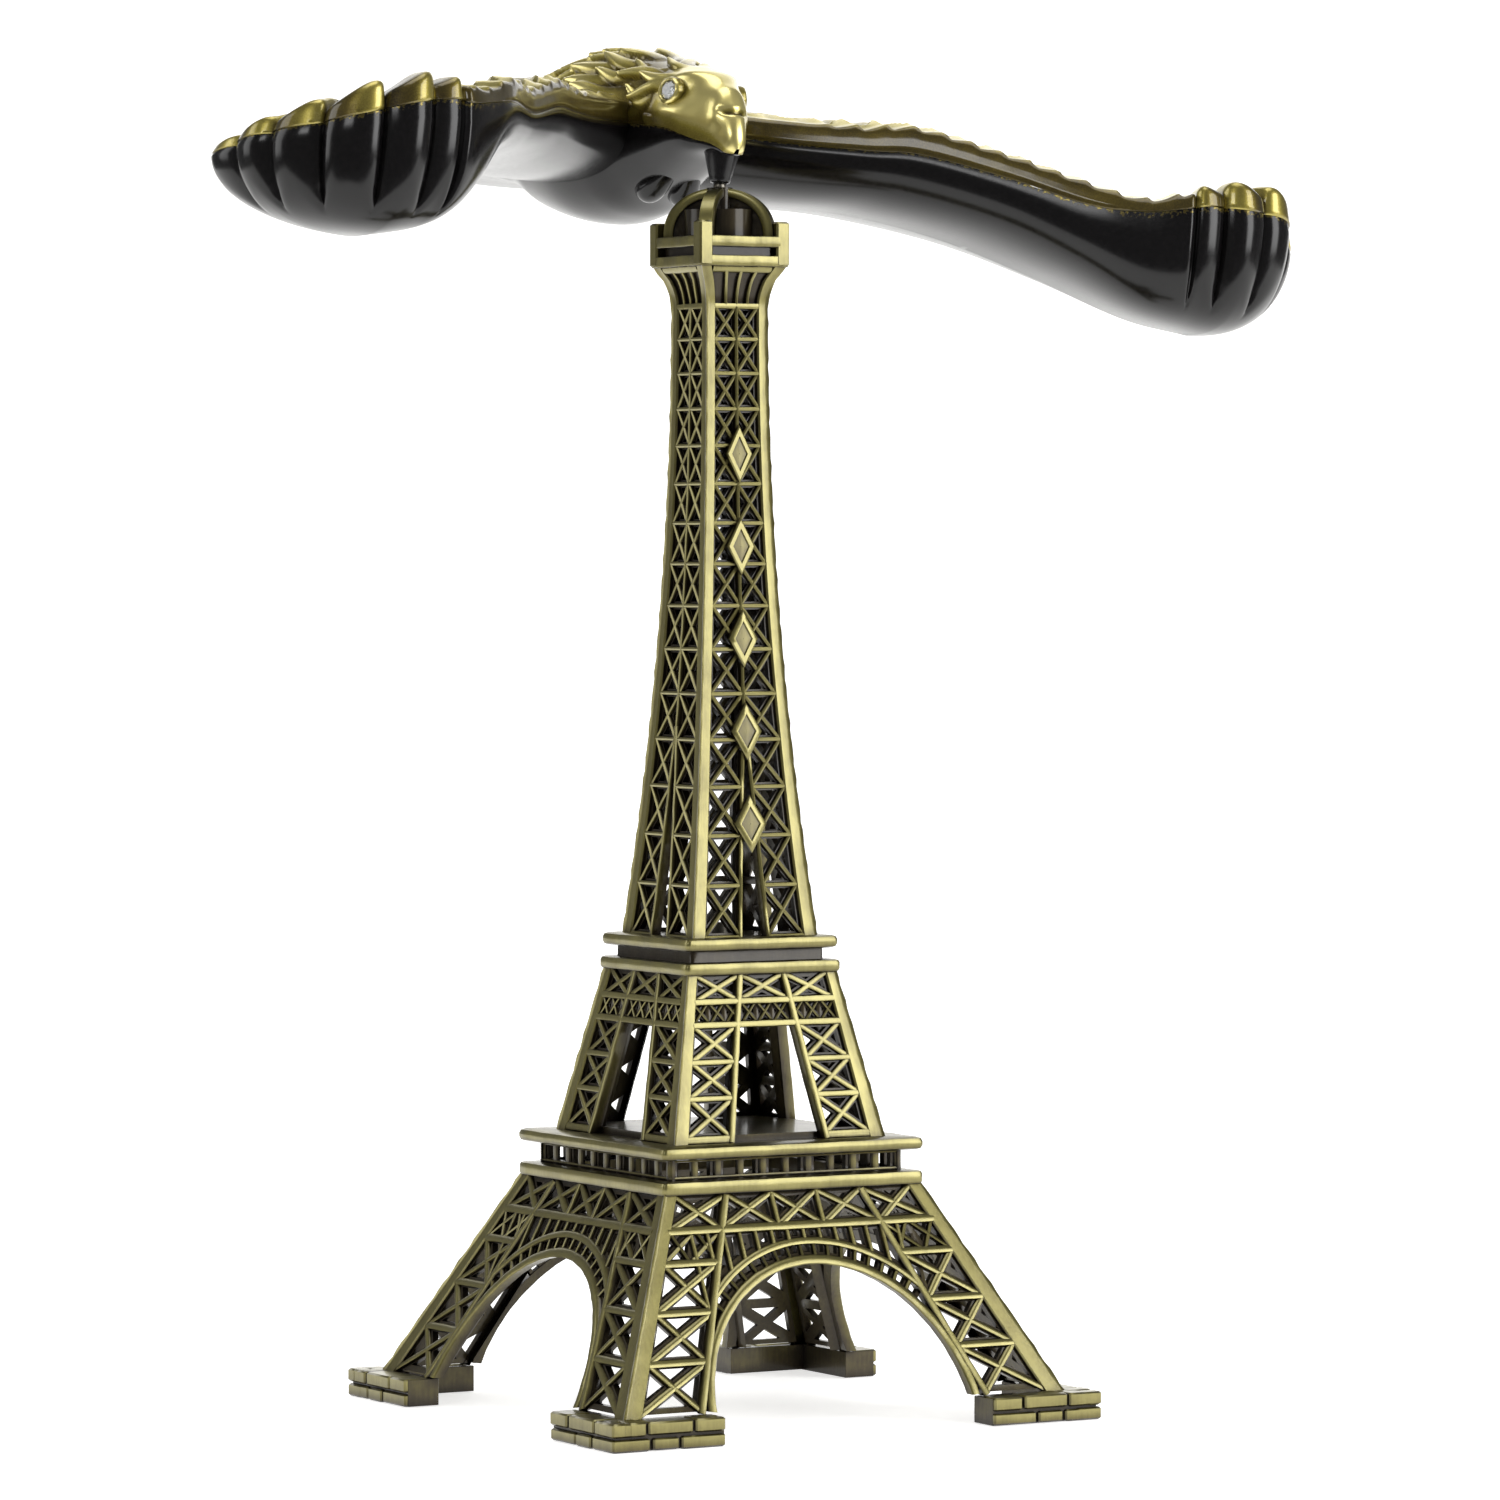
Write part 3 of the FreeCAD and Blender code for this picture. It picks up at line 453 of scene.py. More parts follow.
def block(casting, x0, x1, y0, y1, z0, z1, edge=0.16, relief=0.9, jitter=0.05):
    # one small cast brick with softened edges
    shift = [jitter * (rng.random() - 0.5) * 2 for _ in range(6)]
    x0, x1, y0, y1, z0, z1 = (v + d for v, d in zip((x0, x1, y0, y1, z0, z1), shift))

    def ring(inset, z):
        left, right, low, high, g = x0 + inset, x1 - inset, y0 + inset, y1 - inset, edge
        return [(left + g, low, z), (right - g, low, z), (right, low + g, z), (right, high - g, z),
                (right - g, high, z), (left + g, high, z), (left, high - g, z), (left, low + g, z)]
    rows = [ring(edge, z0), ring(0, z0 + edge), ring(0, z1 - edge), ring(edge, z1)]
    casting.grid(rows, [share * relief for share in (0.3, 0.7, 1.0, 0.95)], True)
    casting.add(rows[0] + rows[-1], [list(range(8))[::-1], list(range(8, 16))],
                [0.2 * relief] * 8 + [0.7 * relief] * 8)


def returnWall(casting, sign, inner, heights, depths, worn):
    # the wall of a leg or column that turns inward beside the opening
    place, rows = casting.place, []
    for z in heights:
        u = sign * (inner(z) - 0.35)
        rows.append([place(u, z, 0.3), place(u, z, depths[0]), place(u + sign * 0.5, z, depths[1])])
    casting.grid(rows, [worn, 0.1, 0.0] * len(rows))


def column(sign, inside, outside):
    # left and right edges of the lattice column on one side of a wall
    if sign > 0:
        return inside, outside
    return (lambda z: -outside(z)), (lambda z: -inside(z))


def line(u0, z0, u1, z1):
    return lambda z: u0 + (u1 - u0) * (z - z0) / (z1 - z0)


# ---- lower stage ----
lower = {
    "bar": 0.8,  # braces
    "footHalf": 33.0, "footHeight": 3.3, "footLength": 15.0, "footDepth": 4.6,
    "legBase": 29.7, "legTop": 17.5,
    "ledge": 27.3, "deck": 31.4,
    "archRadius": 17.4, "archCentre": 1.6, "upperRim": 20.0,
    "springing": 19.8, "rail": 23.4, "top": 27.3,  # heights of the long bars
    "courses": ((0.0, 1.45, (0, 5.2, 8.9, 15.0)), (1.72, 3.3, (0, 2.0, 4.6, 10.8, 15.0))),
    "screenPitch": 2.15, "cellHalf": 3.05,
    "band": 15.7, "bandPitch": 3.08,
}


def brickFeet(casting):
    f, n, d = lower["footHalf"], lower["footLength"], lower["footDepth"]
    for sx in (-1, 1):
        for sy in (-1, 1):
            def put(a0, a1, b0, b1, z0, z1, edge, relief):
                xs, ys = sorted((sx * (f - a0), sx * (f - a1))), sorted((sy * (f - b0), sy * (f - b1)))
                block(casting, xs[0], xs[1], ys[0], ys[1], z0, z1, edge, relief)
            # the core blocks are painted dark as painted shade, standing in for the shaded hollow inside each
            # foot
            put(0.45, n - 0.1, 0.45, d, 0.05, 3.2, 0.05, 0.1)  # dark core, plain towards the inside
            put(0.45, d, 0.45, n - 0.1, 0.05, 3.2, 0.05, 0.1)
            for z0, z1, joints in lower["courses"]:
                for i, (a, b) in enumerate(zip(joints, joints[1:])):
                    low = a + (0.16 if i else 0)
                    put(low, b - 0.16, 0, d - 1.2, z0, z1, 0.2, 0.95)
                    put(0, d - 1.2, max(low, 0.02), b - 0.16, z0, z1, 0.2, 0.9)


def lowerStage():
    casting = Casting()
    base, top = lower["footHeight"] - 0.3, lower["ledge"] + 0.3
    half = line(lower["legBase"], lower["footHeight"], lower["legTop"], lower["ledge"])
    postWide = line(2.5, base, 1.8, top)
    inner = line(9.2, 27.2, 19.2, 3.6)
    outer = lambda z: half(z) - postWide(z) + 0.3
    radius, centre, rim = lower["archRadius"], lower["archCentre"], lower["upperRim"]
    springing, rail, cellHalf = lower["springing"], lower["rail"], lower["cellHalf"]
    cornerPosts(casting, half, postWide, span(base, top, 0.9), 0.13)
    for side in range(4):
        place = onWall(casting, half, side)
        rows = [3.6, 9.0, 14.4, springing]
        for sign in (-1, 1):
            near, far = column(sign, inner, outer)
            for z0, z1 in zip(rows, rows[1:]):
                crossed(casting, near, far, z0, z1, lower["bar"])
            middle = lambda z: (near(z) + far(z)) / 2
            crossed(casting, near, middle, springing, rail, 0.5, 0.42)
            crossed(casting, middle, far, springing, rail, 0.5, 0.42)
            crossed(casting, near, far, rail, lower["top"], lower["bar"])
            for z in rows[1:-1]:
                strip(casting, [(near(z), z), (far(z), z)], 0.85, 0.02)
            strip(casting, [(sign * inner(3.4), 3.4), (sign * inner(27.2), 27.2)], 0.95, -0.06, 1.5)
            returnWall(casting, sign, inner, span(3.4, 15.0, 2.0), (1.5, 2.6), 0.35)
        edges = [lambda z: -inner(z), lambda z: -cellHalf, lambda z: cellHalf, inner]
        for left, right in zip(edges, edges[1:]):
            crossed(casting, left, right, rail, lower["top"], lower["bar"])
        for u in (-cellHalf, cellHalf):
            strip(casting, [(u, rail), (u, lower["top"])], 0.7, 0.05)
        for z, wide in ((springing, 0.9), (rail, 1.0)):
            reach = outer(z) + 0.2
            if z > 20:
                strip(casting, [(-reach, z), (reach, z)], wide, -0.05)
            else:
                for sign in (-1, 1):
                    strip(casting, [(sign * inner(z), z), (sign * reach, z)], wide, -0.02)
        # arch: soffit rim, upper rim, short bars between, and the screen above
        sweep = [math.radians(a) for a in np.linspace(-84, 84, 57)]

        def onArc(r, past=0.2):
            points = [(r * math.sin(a), centre + r * math.cos(a)) for a in sweep]
            return [(u, z) for u, z in points if abs(u) < inner(z) + past]
        strip(casting, onArc(radius + 0.5), 1.1, -0.04, 1.5, step=9)
        soffit = zip(onArc(radius), onArc(radius + 1.2, 0.9))
        casting.grid([[place(*p, 1.5), place(*q, 1.5)] for p, q in soffit], 0.05)
        strip(casting, onArc(rim), 0.85, -0.02, 1.2, step=9)
        bars = [5.4 * (i - 0.5) for i in range(-10, 12)]
        for a0, a1 in zip(bars, bars[1:]):
            s0, s1 = math.radians(a0), math.radians(a1)
            corners = [(r * math.sin(s), centre + r * math.cos(s)) for r, s in
                       ((radius + 0.9, s0), (radius + 0.9, s1), (rim, s1), (rim, s0))]
            if max(abs(u) - inner(z) for u, z in corners) > 0.6:
                continue
            web(casting, corners, 0.42)
            strip(casting, [corners[0], corners[3]], 0.45, 0.16, 0.9, 0.8)
        pitch = lower["screenPitch"]
        for i in range(-7, 7):
            u0, u1 = pitch * i, pitch * (i + 1)
            lows = [centre + math.sqrt(max(rim ** 2 - u * u, 1)) for u in (u0, u1)]
            if max(abs(u0), abs(u1)) > inner(min(lows)) + 1.8:
                continue
            if min(lows) < 21.9:
                web(casting, [(u0, lows[0]), (u1, lows[1]), (u1, rail), (u0, rail)], 0.62)
            strip(casting, [(u0, lows[0]), (u0, rail)], 0.6, 0.12, 0.9, 0.85)
    brickFeet(casting)
    plate(casting, 17.75, lower["ledge"], 1.6, 0.35, 13.5)
    plate(casting, 17.8, lower["deck"], 1.5, 0.55)
    band, pitch = lower["band"], lower["bandPitch"]
    for side in range(4):
        place = onWall(casting, lambda z: band, side)
        us = [(i - 2.5) * 2 * pitch for i in range(6)]
        for u0, u1 in zip(us, us[1:]):
            web(casting, [(u0, 28.7), (u1, 28.7), (u1, 31.5), (u0, 31.5)], 0.55, 0.25, 1.2)
        for i in range(-5, 6):
            strip(casting, [(i * pitch, 28.8), (i * pitch, 31.5)], 1.0, -0.05, 0.5, 0.45)
        strip(casting, [(-band, 29.15), (band, 29.15)], 0.45, -0.12, 0.5, 0.6)
        strip(casting, [(-band, 31.2), (band, 31.2)], 0.4, -0.12, 0.5, 0.5)
    casting.piece("tower_lower_stage", "lower_stage")


# ---- middle stage ----
middleSizes = {"baseZ": 32.9, "topZ": 52.4, "baseHalf": 14.3, "topHalf": 10.1, "bar": 0.72,
               "floorHalf": 12.9, "floorTop": 33.7, "neckHalf": 9.2}


def middleStage():
    casting = Casting()
    low, top = middleSizes["baseZ"], middleSizes["topZ"]
    half = line(middleSizes["baseHalf"], low, middleSizes["topHalf"], top)
    postWide = line(2.0, low, 1.4, top)
    inner = line(6.4, 33.6, 2.95, 52.5)
    outer = lambda z: half(z) - postWide(z) + 0.25
    cornerPosts(casting, half, postWide, span(low - 0.2, top + 0.2, 0.9), 0.1)
    for side in range(4):
        place = onWall(casting, half, side)
        rows = [33.5, 38.1, 42.3, 46.5]
        for sign in (-1, 1):
            near, far = column(sign, inner, outer)
            for z0, z1 in zip(rows, rows[1:]):
                crossed(casting, near, far, z0, z1, middleSizes["bar"])
            crossed(casting, near, far, 49.3, 52.4, middleSizes["bar"])
            for z in rows[:-1]:
                strip(casting, [(near(z), z), (far(z), z)], 0.75, 0.03)
            strip(casting, [(sign * inner(33.0), 33.0), (sign * inner(52.4), 52.4)], 0.9, -0.06, 1.4)
            returnWall(casting, sign, inner, span(33.2, 46.4, 2.0), (1.4, 2.2), 0.3)
        crossed(casting, lambda z: -inner(z), lambda z: inner(z), 49.3, 52.4, middleSizes["bar"])
        ends = outer(48)
        lattice = span(-ends, ends, ends * 2 / 9)
        for u0, u1 in zip(lattice, lattice[1:]):
            crossed(casting, lambda z: u0, lambda z: u1, 46.7, 49.3, 0.36, 0.34, 0.2)
        for z, wide in ((46.6, 0.85), (49.3, 0.85)):
            strip(casting, [(-outer(z), z), (outer(z), z)], wide, -0.04)
        strip(casting, [(-outer(33.3), 33.3), (-inner(33.3), 33.3)], 0.8, 0.05)
        strip(casting, [(inner(33.3), 33.3), (outer(33.3), 33.3)], 0.8, 0.05)
    for side in range(4):  # thin floor that the rivet holds to the deck
        f, under, over = (middleSizes[k] for k in ("floorHalf", "baseZ", "floorTop"))
        place = onWall(casting, lambda z: f, side)
        casting.add([place(-f, over), place(f, over), (0, 0, over)], [[0, 1, 2]], 0.25)
        casting.add([place(-f, over), place(f, over), place(f, under), place(-f, under)], [[0, 1, 2, 3]], 0.2)
    plate(casting, 10.6, 52.35, 1.5, 0.4, 6.0)
    neck = ((0, 53.7), (0.15, 54.0), (0.15, 55.1), (0, 55.3))
    casting.grid([squareRing(middleSizes["neckHalf"] - d, z, 0.4, 2.0, 0.03) for d, z in neck], 0.12, True)
    casting.piece("tower_middle_stage", "middle_stage")


# ---- upper shaft ----
shaft = {"baseZ": 56.7, "topZ": 131.3, "baseHalf": 8.45, "topHalf": 4.14, "levels": 15, "firstCell": 3.9,
         "bar": 0.56, "ornaments": 5, "ornamentTop": 113.8, "ornamentPitch": 10.95}


def shaftHalf(z):
    run = max((shaft["topZ"] - z) / (shaft["topZ"] - shaft["baseZ"]), 0)
    flare = np.interp(z, [131.3, 132.2, 133.3, 134.5, 135.4, 136.1], [0, 0.06, 0.3, 0.71, 1.25, 1.6])
    return shaft["topHalf"] + (shaft["baseHalf"] - shaft["topHalf"]) * run ** 2 + float(flare)


def lozenge(casting, z, wide, tall):
    # plain raised ornament with a sunk field
    rings = []
    for size, depth in ((1.0, 0.3), (1.0, -0.36), (0.9, -0.48), (0.62, -0.48), (0.55, -0.3), (0.02, -0.34)):
        corners = [(0, -tall), (wide, 0), (0, tall), (-wide, 0)]
        ring = []
        for (u0, z0), (u1, z1) in zip(corners, corners[1:] + corners[:1]):
            ring += [(blend(u0, u1, i / 5) * size, blend(z0, z1, i / 5) * size) for i in range(5)]
        rings.append([casting.place(u, z + dz, depth) for u, dz in ring])
    casting.grid(rings, [0.2, 0.9, 1.15, 1.05, 0.45, 0.55], True)


def upperShaft():
    casting = Casting()
    top, base, n = shaft["topZ"], shaft["baseZ"], shaft["levels"]
    growth = (top - base - n * shaft["firstCell"]) / (n * (n - 1) / 2)
    levels = [top]
    for i in range(n):
        levels.append(levels[-1] - shaft["firstCell"] - growth * i)
    postWide = lambda z: float(np.interp(z, [57, 80, 131, 136], [1.8, 1.5, 1.3, 1.5]))
    slotHalf = lambda z: float(np.interp(z, [57.4, 80, 82], [1.9, 0.28, 0.0]))
    post = lambda z: shaftHalf(z) - postWide(z) + 0.15
    cornerPosts(casting, shaftHalf, postWide, span(base - 0.2, 136.1, 0.85), 0.09)
    for side in range(4):
        place = onWall(casting, shaftHalf, side)
        for high, low in zip(levels, levels[1:]):
            for sign in (-1, 1):
                left, right = column(sign, slotHalf, post)
                crossed(casting, left, right, low, high, shaft["bar"], 0.46, 0.1)
                strip(casting, [(left(low), low), (right(low), low)], 0.55, 0.06)
        strip(casting, [(-post(top), top), (post(top), top)], 0.8, 0.0)
        for sign in (-1, 1):
            path = [(sign * slotHalf(z), z) for z in span(base, 81.5, 4)]
            strip(casting, path, 0.6, 0.0, 1.2)
            edge = [(sign * max(slotHalf(z) - 0.3, 0.0), z) for z in span(base, 77, 3)]
            casting.grid([[place(u, z, 0.3), place(u, z, 1.3)] for u, z in edge], [0.3, 0.0] * len(edge))
        strip(casting, [(0, z) for z in span(80.5, top, 6)], 0.55, 0.02, 1.1)
        # flare under the gallery: recessed panels between three ribs
        heights = span(top, 136.0, 0.8)
        inset = lambda z: shaftHalf(z) - postWide(z)
        casting.grid([[place(u * inset(z), z, 0.55) for u in np.linspace(-1, 1, 9)] for z in heights], 0.05)
        for u in (-0.52, 0.0, 0.52):
            strip(casting, [(u * inset(z), z) for z in heights], 0.5, 0.05, 0.7)
        strip(casting, [(-inset(135.6), 135.6), (inset(135.6), 135.6)], 0.8, 0.0, 0.8)
    onWall(casting, shaftHalf, 0)
    for i in range(shaft["ornaments"]):
        lozenge(casting, shaft["ornamentTop"] - shaft["ornamentPitch"] * i, 1.75 + 0.1 * i, 3.4)
    plate(casting, 10.4, 55.2, 1.5, 0.5)
    casting.piece("tower_upper_shaft", "upper_shaft")


# ---- gallery and crown ----
gallery = {"z": 136.0, "half": 5.9, "height": 3.5, "post": 1.8, "postTop": 141.3, "crownTop": 145.45,
           "crownReach": 6.75}


def galleryCrown():
    casting = Casting()
    z0, half = gallery["z"], gallery["half"]
    z1 = z0 + gallery["height"]
    plate(casting, half + 0.2, z0 - 0.05, 1.3, 0.14)
    plate(casting, half + 0.2, z1 - 1.25, 1.3, 0.14, 4.9)
    for side in range(4):
        place = onWall(casting, lambda z: half, side)
        casting.grid([[place(u, z, 0.75) for u in (-4.2, 4.2)] for z in (z0 + 1.0, z1 - 1.0)], 0.0)
    for sx in (-1, 1):
        for sy in (-1, 1):
            xs = sorted((sx * (half + 0.25), sx * (half + 0.25 - gallery["post"])))
            ys = sorted((sy * (half + 0.25), sy * (half + 0.25 - gallery["post"])))
            block(casting, xs[0], xs[1], ys[0], ys[1], z0 + 0.02, gallery["postTop"], 0.22, 1.05, 0.03)
    rise, reach = gallery["crownTop"] - z1, gallery["crownReach"]
    angles = [math.pi * i / 40 for i in range(41)]
    rim = [(0.82, -0.42), (0.82, -0.8), (0.84, -0.88), (0.97, -0.88), (1.0, -0.76)]  # half of its section
    for turn in (math.pi / 4, -math.pi / 4):
        c, s = math.cos(turn), math.sin(turn)

        def spot(r, z, across):
            return (r * c - across * s, r * s + across * c, z)
        ring = []
        for a in angles:
            out = (math.cos(a), math.sin(a) ** 0.85)
            row = []
            for share, across in rim + [(share, -across) for share, across in reversed(rim)]:
                row.append(spot(reach * share * out[0], z1 + rise * share * out[1], across))
            ring.append(row)
        casting.grid(ring, [0.1, 0.8, 1.0, 1.1, 1.1, 1.1, 1.1, 1.0, 0.8, 0.1] * len(ring))
        for across in (-0.42, 0.42):  # the dark pebbled field inside the rim
            rows = []
            for share in np.linspace(0.86, 0.06, 18):
                rows.append([spot(reach * share * math.cos(a), z1 + rise * share * math.sin(a) ** 0.85,
                                  across * (1 + 0.35 * rng.random())) for a in angles])
            casting.grid(rows, 0.05)
    casting.piece("tower_gallery_crown", "gallery_crown")


lowerStage()
middleStage()
upperShaft()
galleryCrown()

# ---- eagle, in its own frame: beak point at the origin, x ahead, y to its left, mm ----
eagle = {
    "pivotZ": 145.6, "lean": -4.8,
    "grooveDepth": 1.9,  # between the wing-tip feathers
    "seamInset": 0.22,
    "scaleLong": 5.2, "scaleWide": 4.6, "scaleLift": 0.55,
    "tuftLong": 7.6, "tuftWide": 3.9, "tuftLift": 1.6,
    # radius and height of the cone that carries the ball
    "beakCone": [(2.0, 5.4), (2.15, 4.8), (2.15, 4.2), (1.98, 3.4), (1.66, 2.2), (1.38, 1.2), (1.16, 0.5),
                 (0.8, 0.35)],
    # x, y, z and radius along a tucked foot
    "foot": [(-15.2, 2.2, 0.9, 0.3), (-14.4, 2.2, 0.3, 1.3), (-12.8, 2.2, 0.1, 1.75), (-11.2, 2.1, 0.5, 1.55),
             (-9.8, 1.8, 1.3, 1.05), (-8.8, 1.5, 2.1, 0.55), (-8.3, 1.4, 2.6, 0.15)],
}


def seated(points):
    # from the eagle's own frame to the tower's
    a = math.radians(eagle["lean"])
    x, y, z = points[..., 0], points[..., 1], points[..., 2]
    y, z = y * math.cos(a) - z * math.sin(a), y * math.sin(a) + z * math.cos(a)
    return np.stack([y, -x, z + eagle["pivotZ"]], -1)


class Moulding:
    def __init__(self):
        self.points, self.faces, self.marks, self.count = [], [], [], 0

    def add(self, grid, marks, wrap=False):
        rows, wide = grid.shape[:2]
        index = np.arange(rows * wide).reshape(rows, wide) + self.count
        right = np.roll(index, -1, 1) if wrap else index[:, 1:]
        left = index if wrap else index[:, :-1]
        quads = np.stack([left[:-1], right[:-1], right[1:], left[1:]], -1).reshape(-1, 4)
        self.points.append(seated(grid).reshape(-1, 3))
        self.marks.append(np.broadcast_to(marks, (rows, wide)).reshape(-1))
        self.faces += quads.tolist()
        self.count += rows * wide

    def piece(self, name, label, body, replaced, slotName, material, sharp):
        makePiece(name, np.vstack(self.points).tolist(), self.faces, {label: np.concatenate(self.marks)},
                  body, replaced, material, sharp, 0.01)


# outline of the left wing from the front of its root round the tip: x, y, seam z, place along the spine
wingOutline = [
    (-14.0, 3.5, 7.8, 0.00), (-6.5, 13.0, 6.9, 0.14), (0.0, 20.0, 6.5, 0.26), (5.0, 25.0, 6.3, 0.37),
    (13.0, 32.5, 3.9, 0.52), (20.5, 39.0, 1.2, 0.68), (25.0, 44.0, 0.7, 0.82), (28.0, 48.0, 1.3, 0.92),
    (28.8, 51.0, 1.9, 0.97), (29.8, 56.5, 1.9, 1.00), (27.5, 63.0, 1.5, 1.00), (21.9, 67.6, -1.3, 1.00),
    (15.2, 70.2, -3.0, 1.00), (6.0, 70.0, -3.5, 0.98), (0.5, 65.5, -3.4, 0.92), (-5.0, 58.0, -2.6, 0.80),
    (-17.5, 46.0, 0.6, 0.58), (-29.0, 31.5, 3.0, 0.37), (-36.0, 17.5, 4.4, 0.16), (-39.0, 3.5, 7.4, 0.00),
]
# grooves between the wing-tip feathers, by outline key
handGrooves = [6.6, 7.45, 8.43, 9.48, 10.57, 11.62, 12.43, 13.3, 14.2]
# spine: x, y, top, underside
wingSpine = [
    (-26.5, 3.5, 12.5, 1.0), (-20.0, 15.0, 10.6, 0.3), (-13.0, 24.5, 9.6, -0.2), (-5.0, 34.0, 8.0, -2.6),
    (3.5, 43.0, 4.2, -6.8), (11.0, 51.0, 2.2, -11.0), (16.5, 56.7, 1.6, -12.6),
]
rightSpineLift = [0, 0, 0.4, 2.0, 4.2, 1.4, 0.0]  # the right arm is shallower, so its hand starts steeply
# how square the underside is, by outline key: high where the wall drops straight down
wingBelly = [2.4, 2.6, 2.8, 3.0, 3.3, 3.6, 3.6, 3.4, 3.2, 3.0,
             2.7, 2.2, 1.75, 1.3, 1.3, 1.5, 1.8, 2.0, 2.2, 2.2]
rightBelly = [2.2, 2.3, 2.4, 2.5, 2.5, 2.6, 3.2, 3.6, 3.4, 3.1,
              2.9, 2.7, 2.4, 2.0, 1.7, 1.6, 1.8, 2.0, 2.2, 2.2]
# the right wing cooled with a slight twist: how far its seam stands off the left one's
rightTwist = [0, 0, 0, 0, 0.4, 3.2, 2.9, 1.6, 1.1, 0, -1.6, -0.3, 0.3, -0.7, -0.5, 0, 0, 0, 0, 0]
# height of the gold cap above the seam, by outline key
wingCap = [2.6, 2.8, 3.0, 3.3, 3.0, 2.8, 1.7, 2.0, 3.0, 3.6, 3.6, 2.8, 2.0, 1.2, 1.2, 1.6, 2.0, 2.4, 2.8, 3.0]


def wingFrame(count, side):
    keys = np.array(wingOutline)
    if side < 0:
        keys[:, 2] += rightTwist
    outline = throughKeys(keys, count)
    spineKeys = np.array(wingSpine)
    if side < 0:
        spineKeys[:, 3] += rightSpineLift
    spineFine = throughKeys(spineKeys, 400)
    share = np.clip(outline[:, 3], 0, 1) * 399
    spine = np.stack([np.interp(share, np.arange(400), spineFine[:, i]) for i in range(4)], -1)
    cap = throughKeys(np.array(wingCap)[:, None], count)[:, 0]
    at = np.linspace(0, len(wingOutline) - 1, count)
    steps = np.linalg.norm(np.diff(outline[:, :2], axis=0), axis=1)
    arc = np.concatenate([[0], np.cumsum(steps)])
    reach = np.linalg.norm(outline[:, :2] - spine[:, :2], axis=1)
    return outline, spine, cap, at, arc, reach


def lobes(at):
    # 1 in the hand, 0 elsewhere; 0 on a feather's back to 1 in the groove; 0 to 1 across each feather
    inHand = smooth(at, 7.1, 7.6) * (1 - smooth(at, 13.4, 14.0))
    step = np.interp(at, handGrooves, range(len(handGrooves))) % 1.0
    return inHand, np.abs(step * 2 - 1), step


def drawnIn(outline, spine, rho, cut, reach):
    # x and y between spine and outline, pulled in at the grooves and along the seam
    inward = cut / reach
    inward[0] += eagle["seamInset"] / reach
    rho = rho * (1 - inward)
    return blend(spine[:, 0], outline[:, 0], rho), blend(spine[:, 1], outline[:, 1], rho)


def wingLower(side):
    count, rows = 420, 46
    outline, spine, _, at, _, reach = wingFrame(count, side)
    inHand, away, _ = lobes(at)
    theta = np.linspace(0, math.pi / 2, rows)[:, None]
    power = throughKeys(np.array(wingBelly if side > 0 else rightBelly)[:, None], count)[:, 0]
    rho, deep = np.cos(theta) ** (2 / power), np.sin(theta) ** (2 / power)
    down = theta / (math.pi / 2)
    fade = 1 - smooth(down, 0.34, 0.62)
    narrow = blend(0.0, 0.62, smooth(down, 0.22, 0.60))
    groove = np.clip((away - narrow) / (1 - narrow), 0, 1)
    cut = eagle["grooveDepth"] * inHand * (1 - np.sqrt(1 - 0.97 * groove ** 2)) * fade
    x, y = drawnIn(outline, spine, rho, cut, reach)
    z = outline[:, 2] - (outline[:, 2] - spine[:, 3]) * deep
    z[0] = outline[:, 2]
    grid = np.stack([x, side * y, z], -1)
    rim = np.clip(0.9 - down * 30, 0, 1) * np.ones_like(x)
    return grid, rim


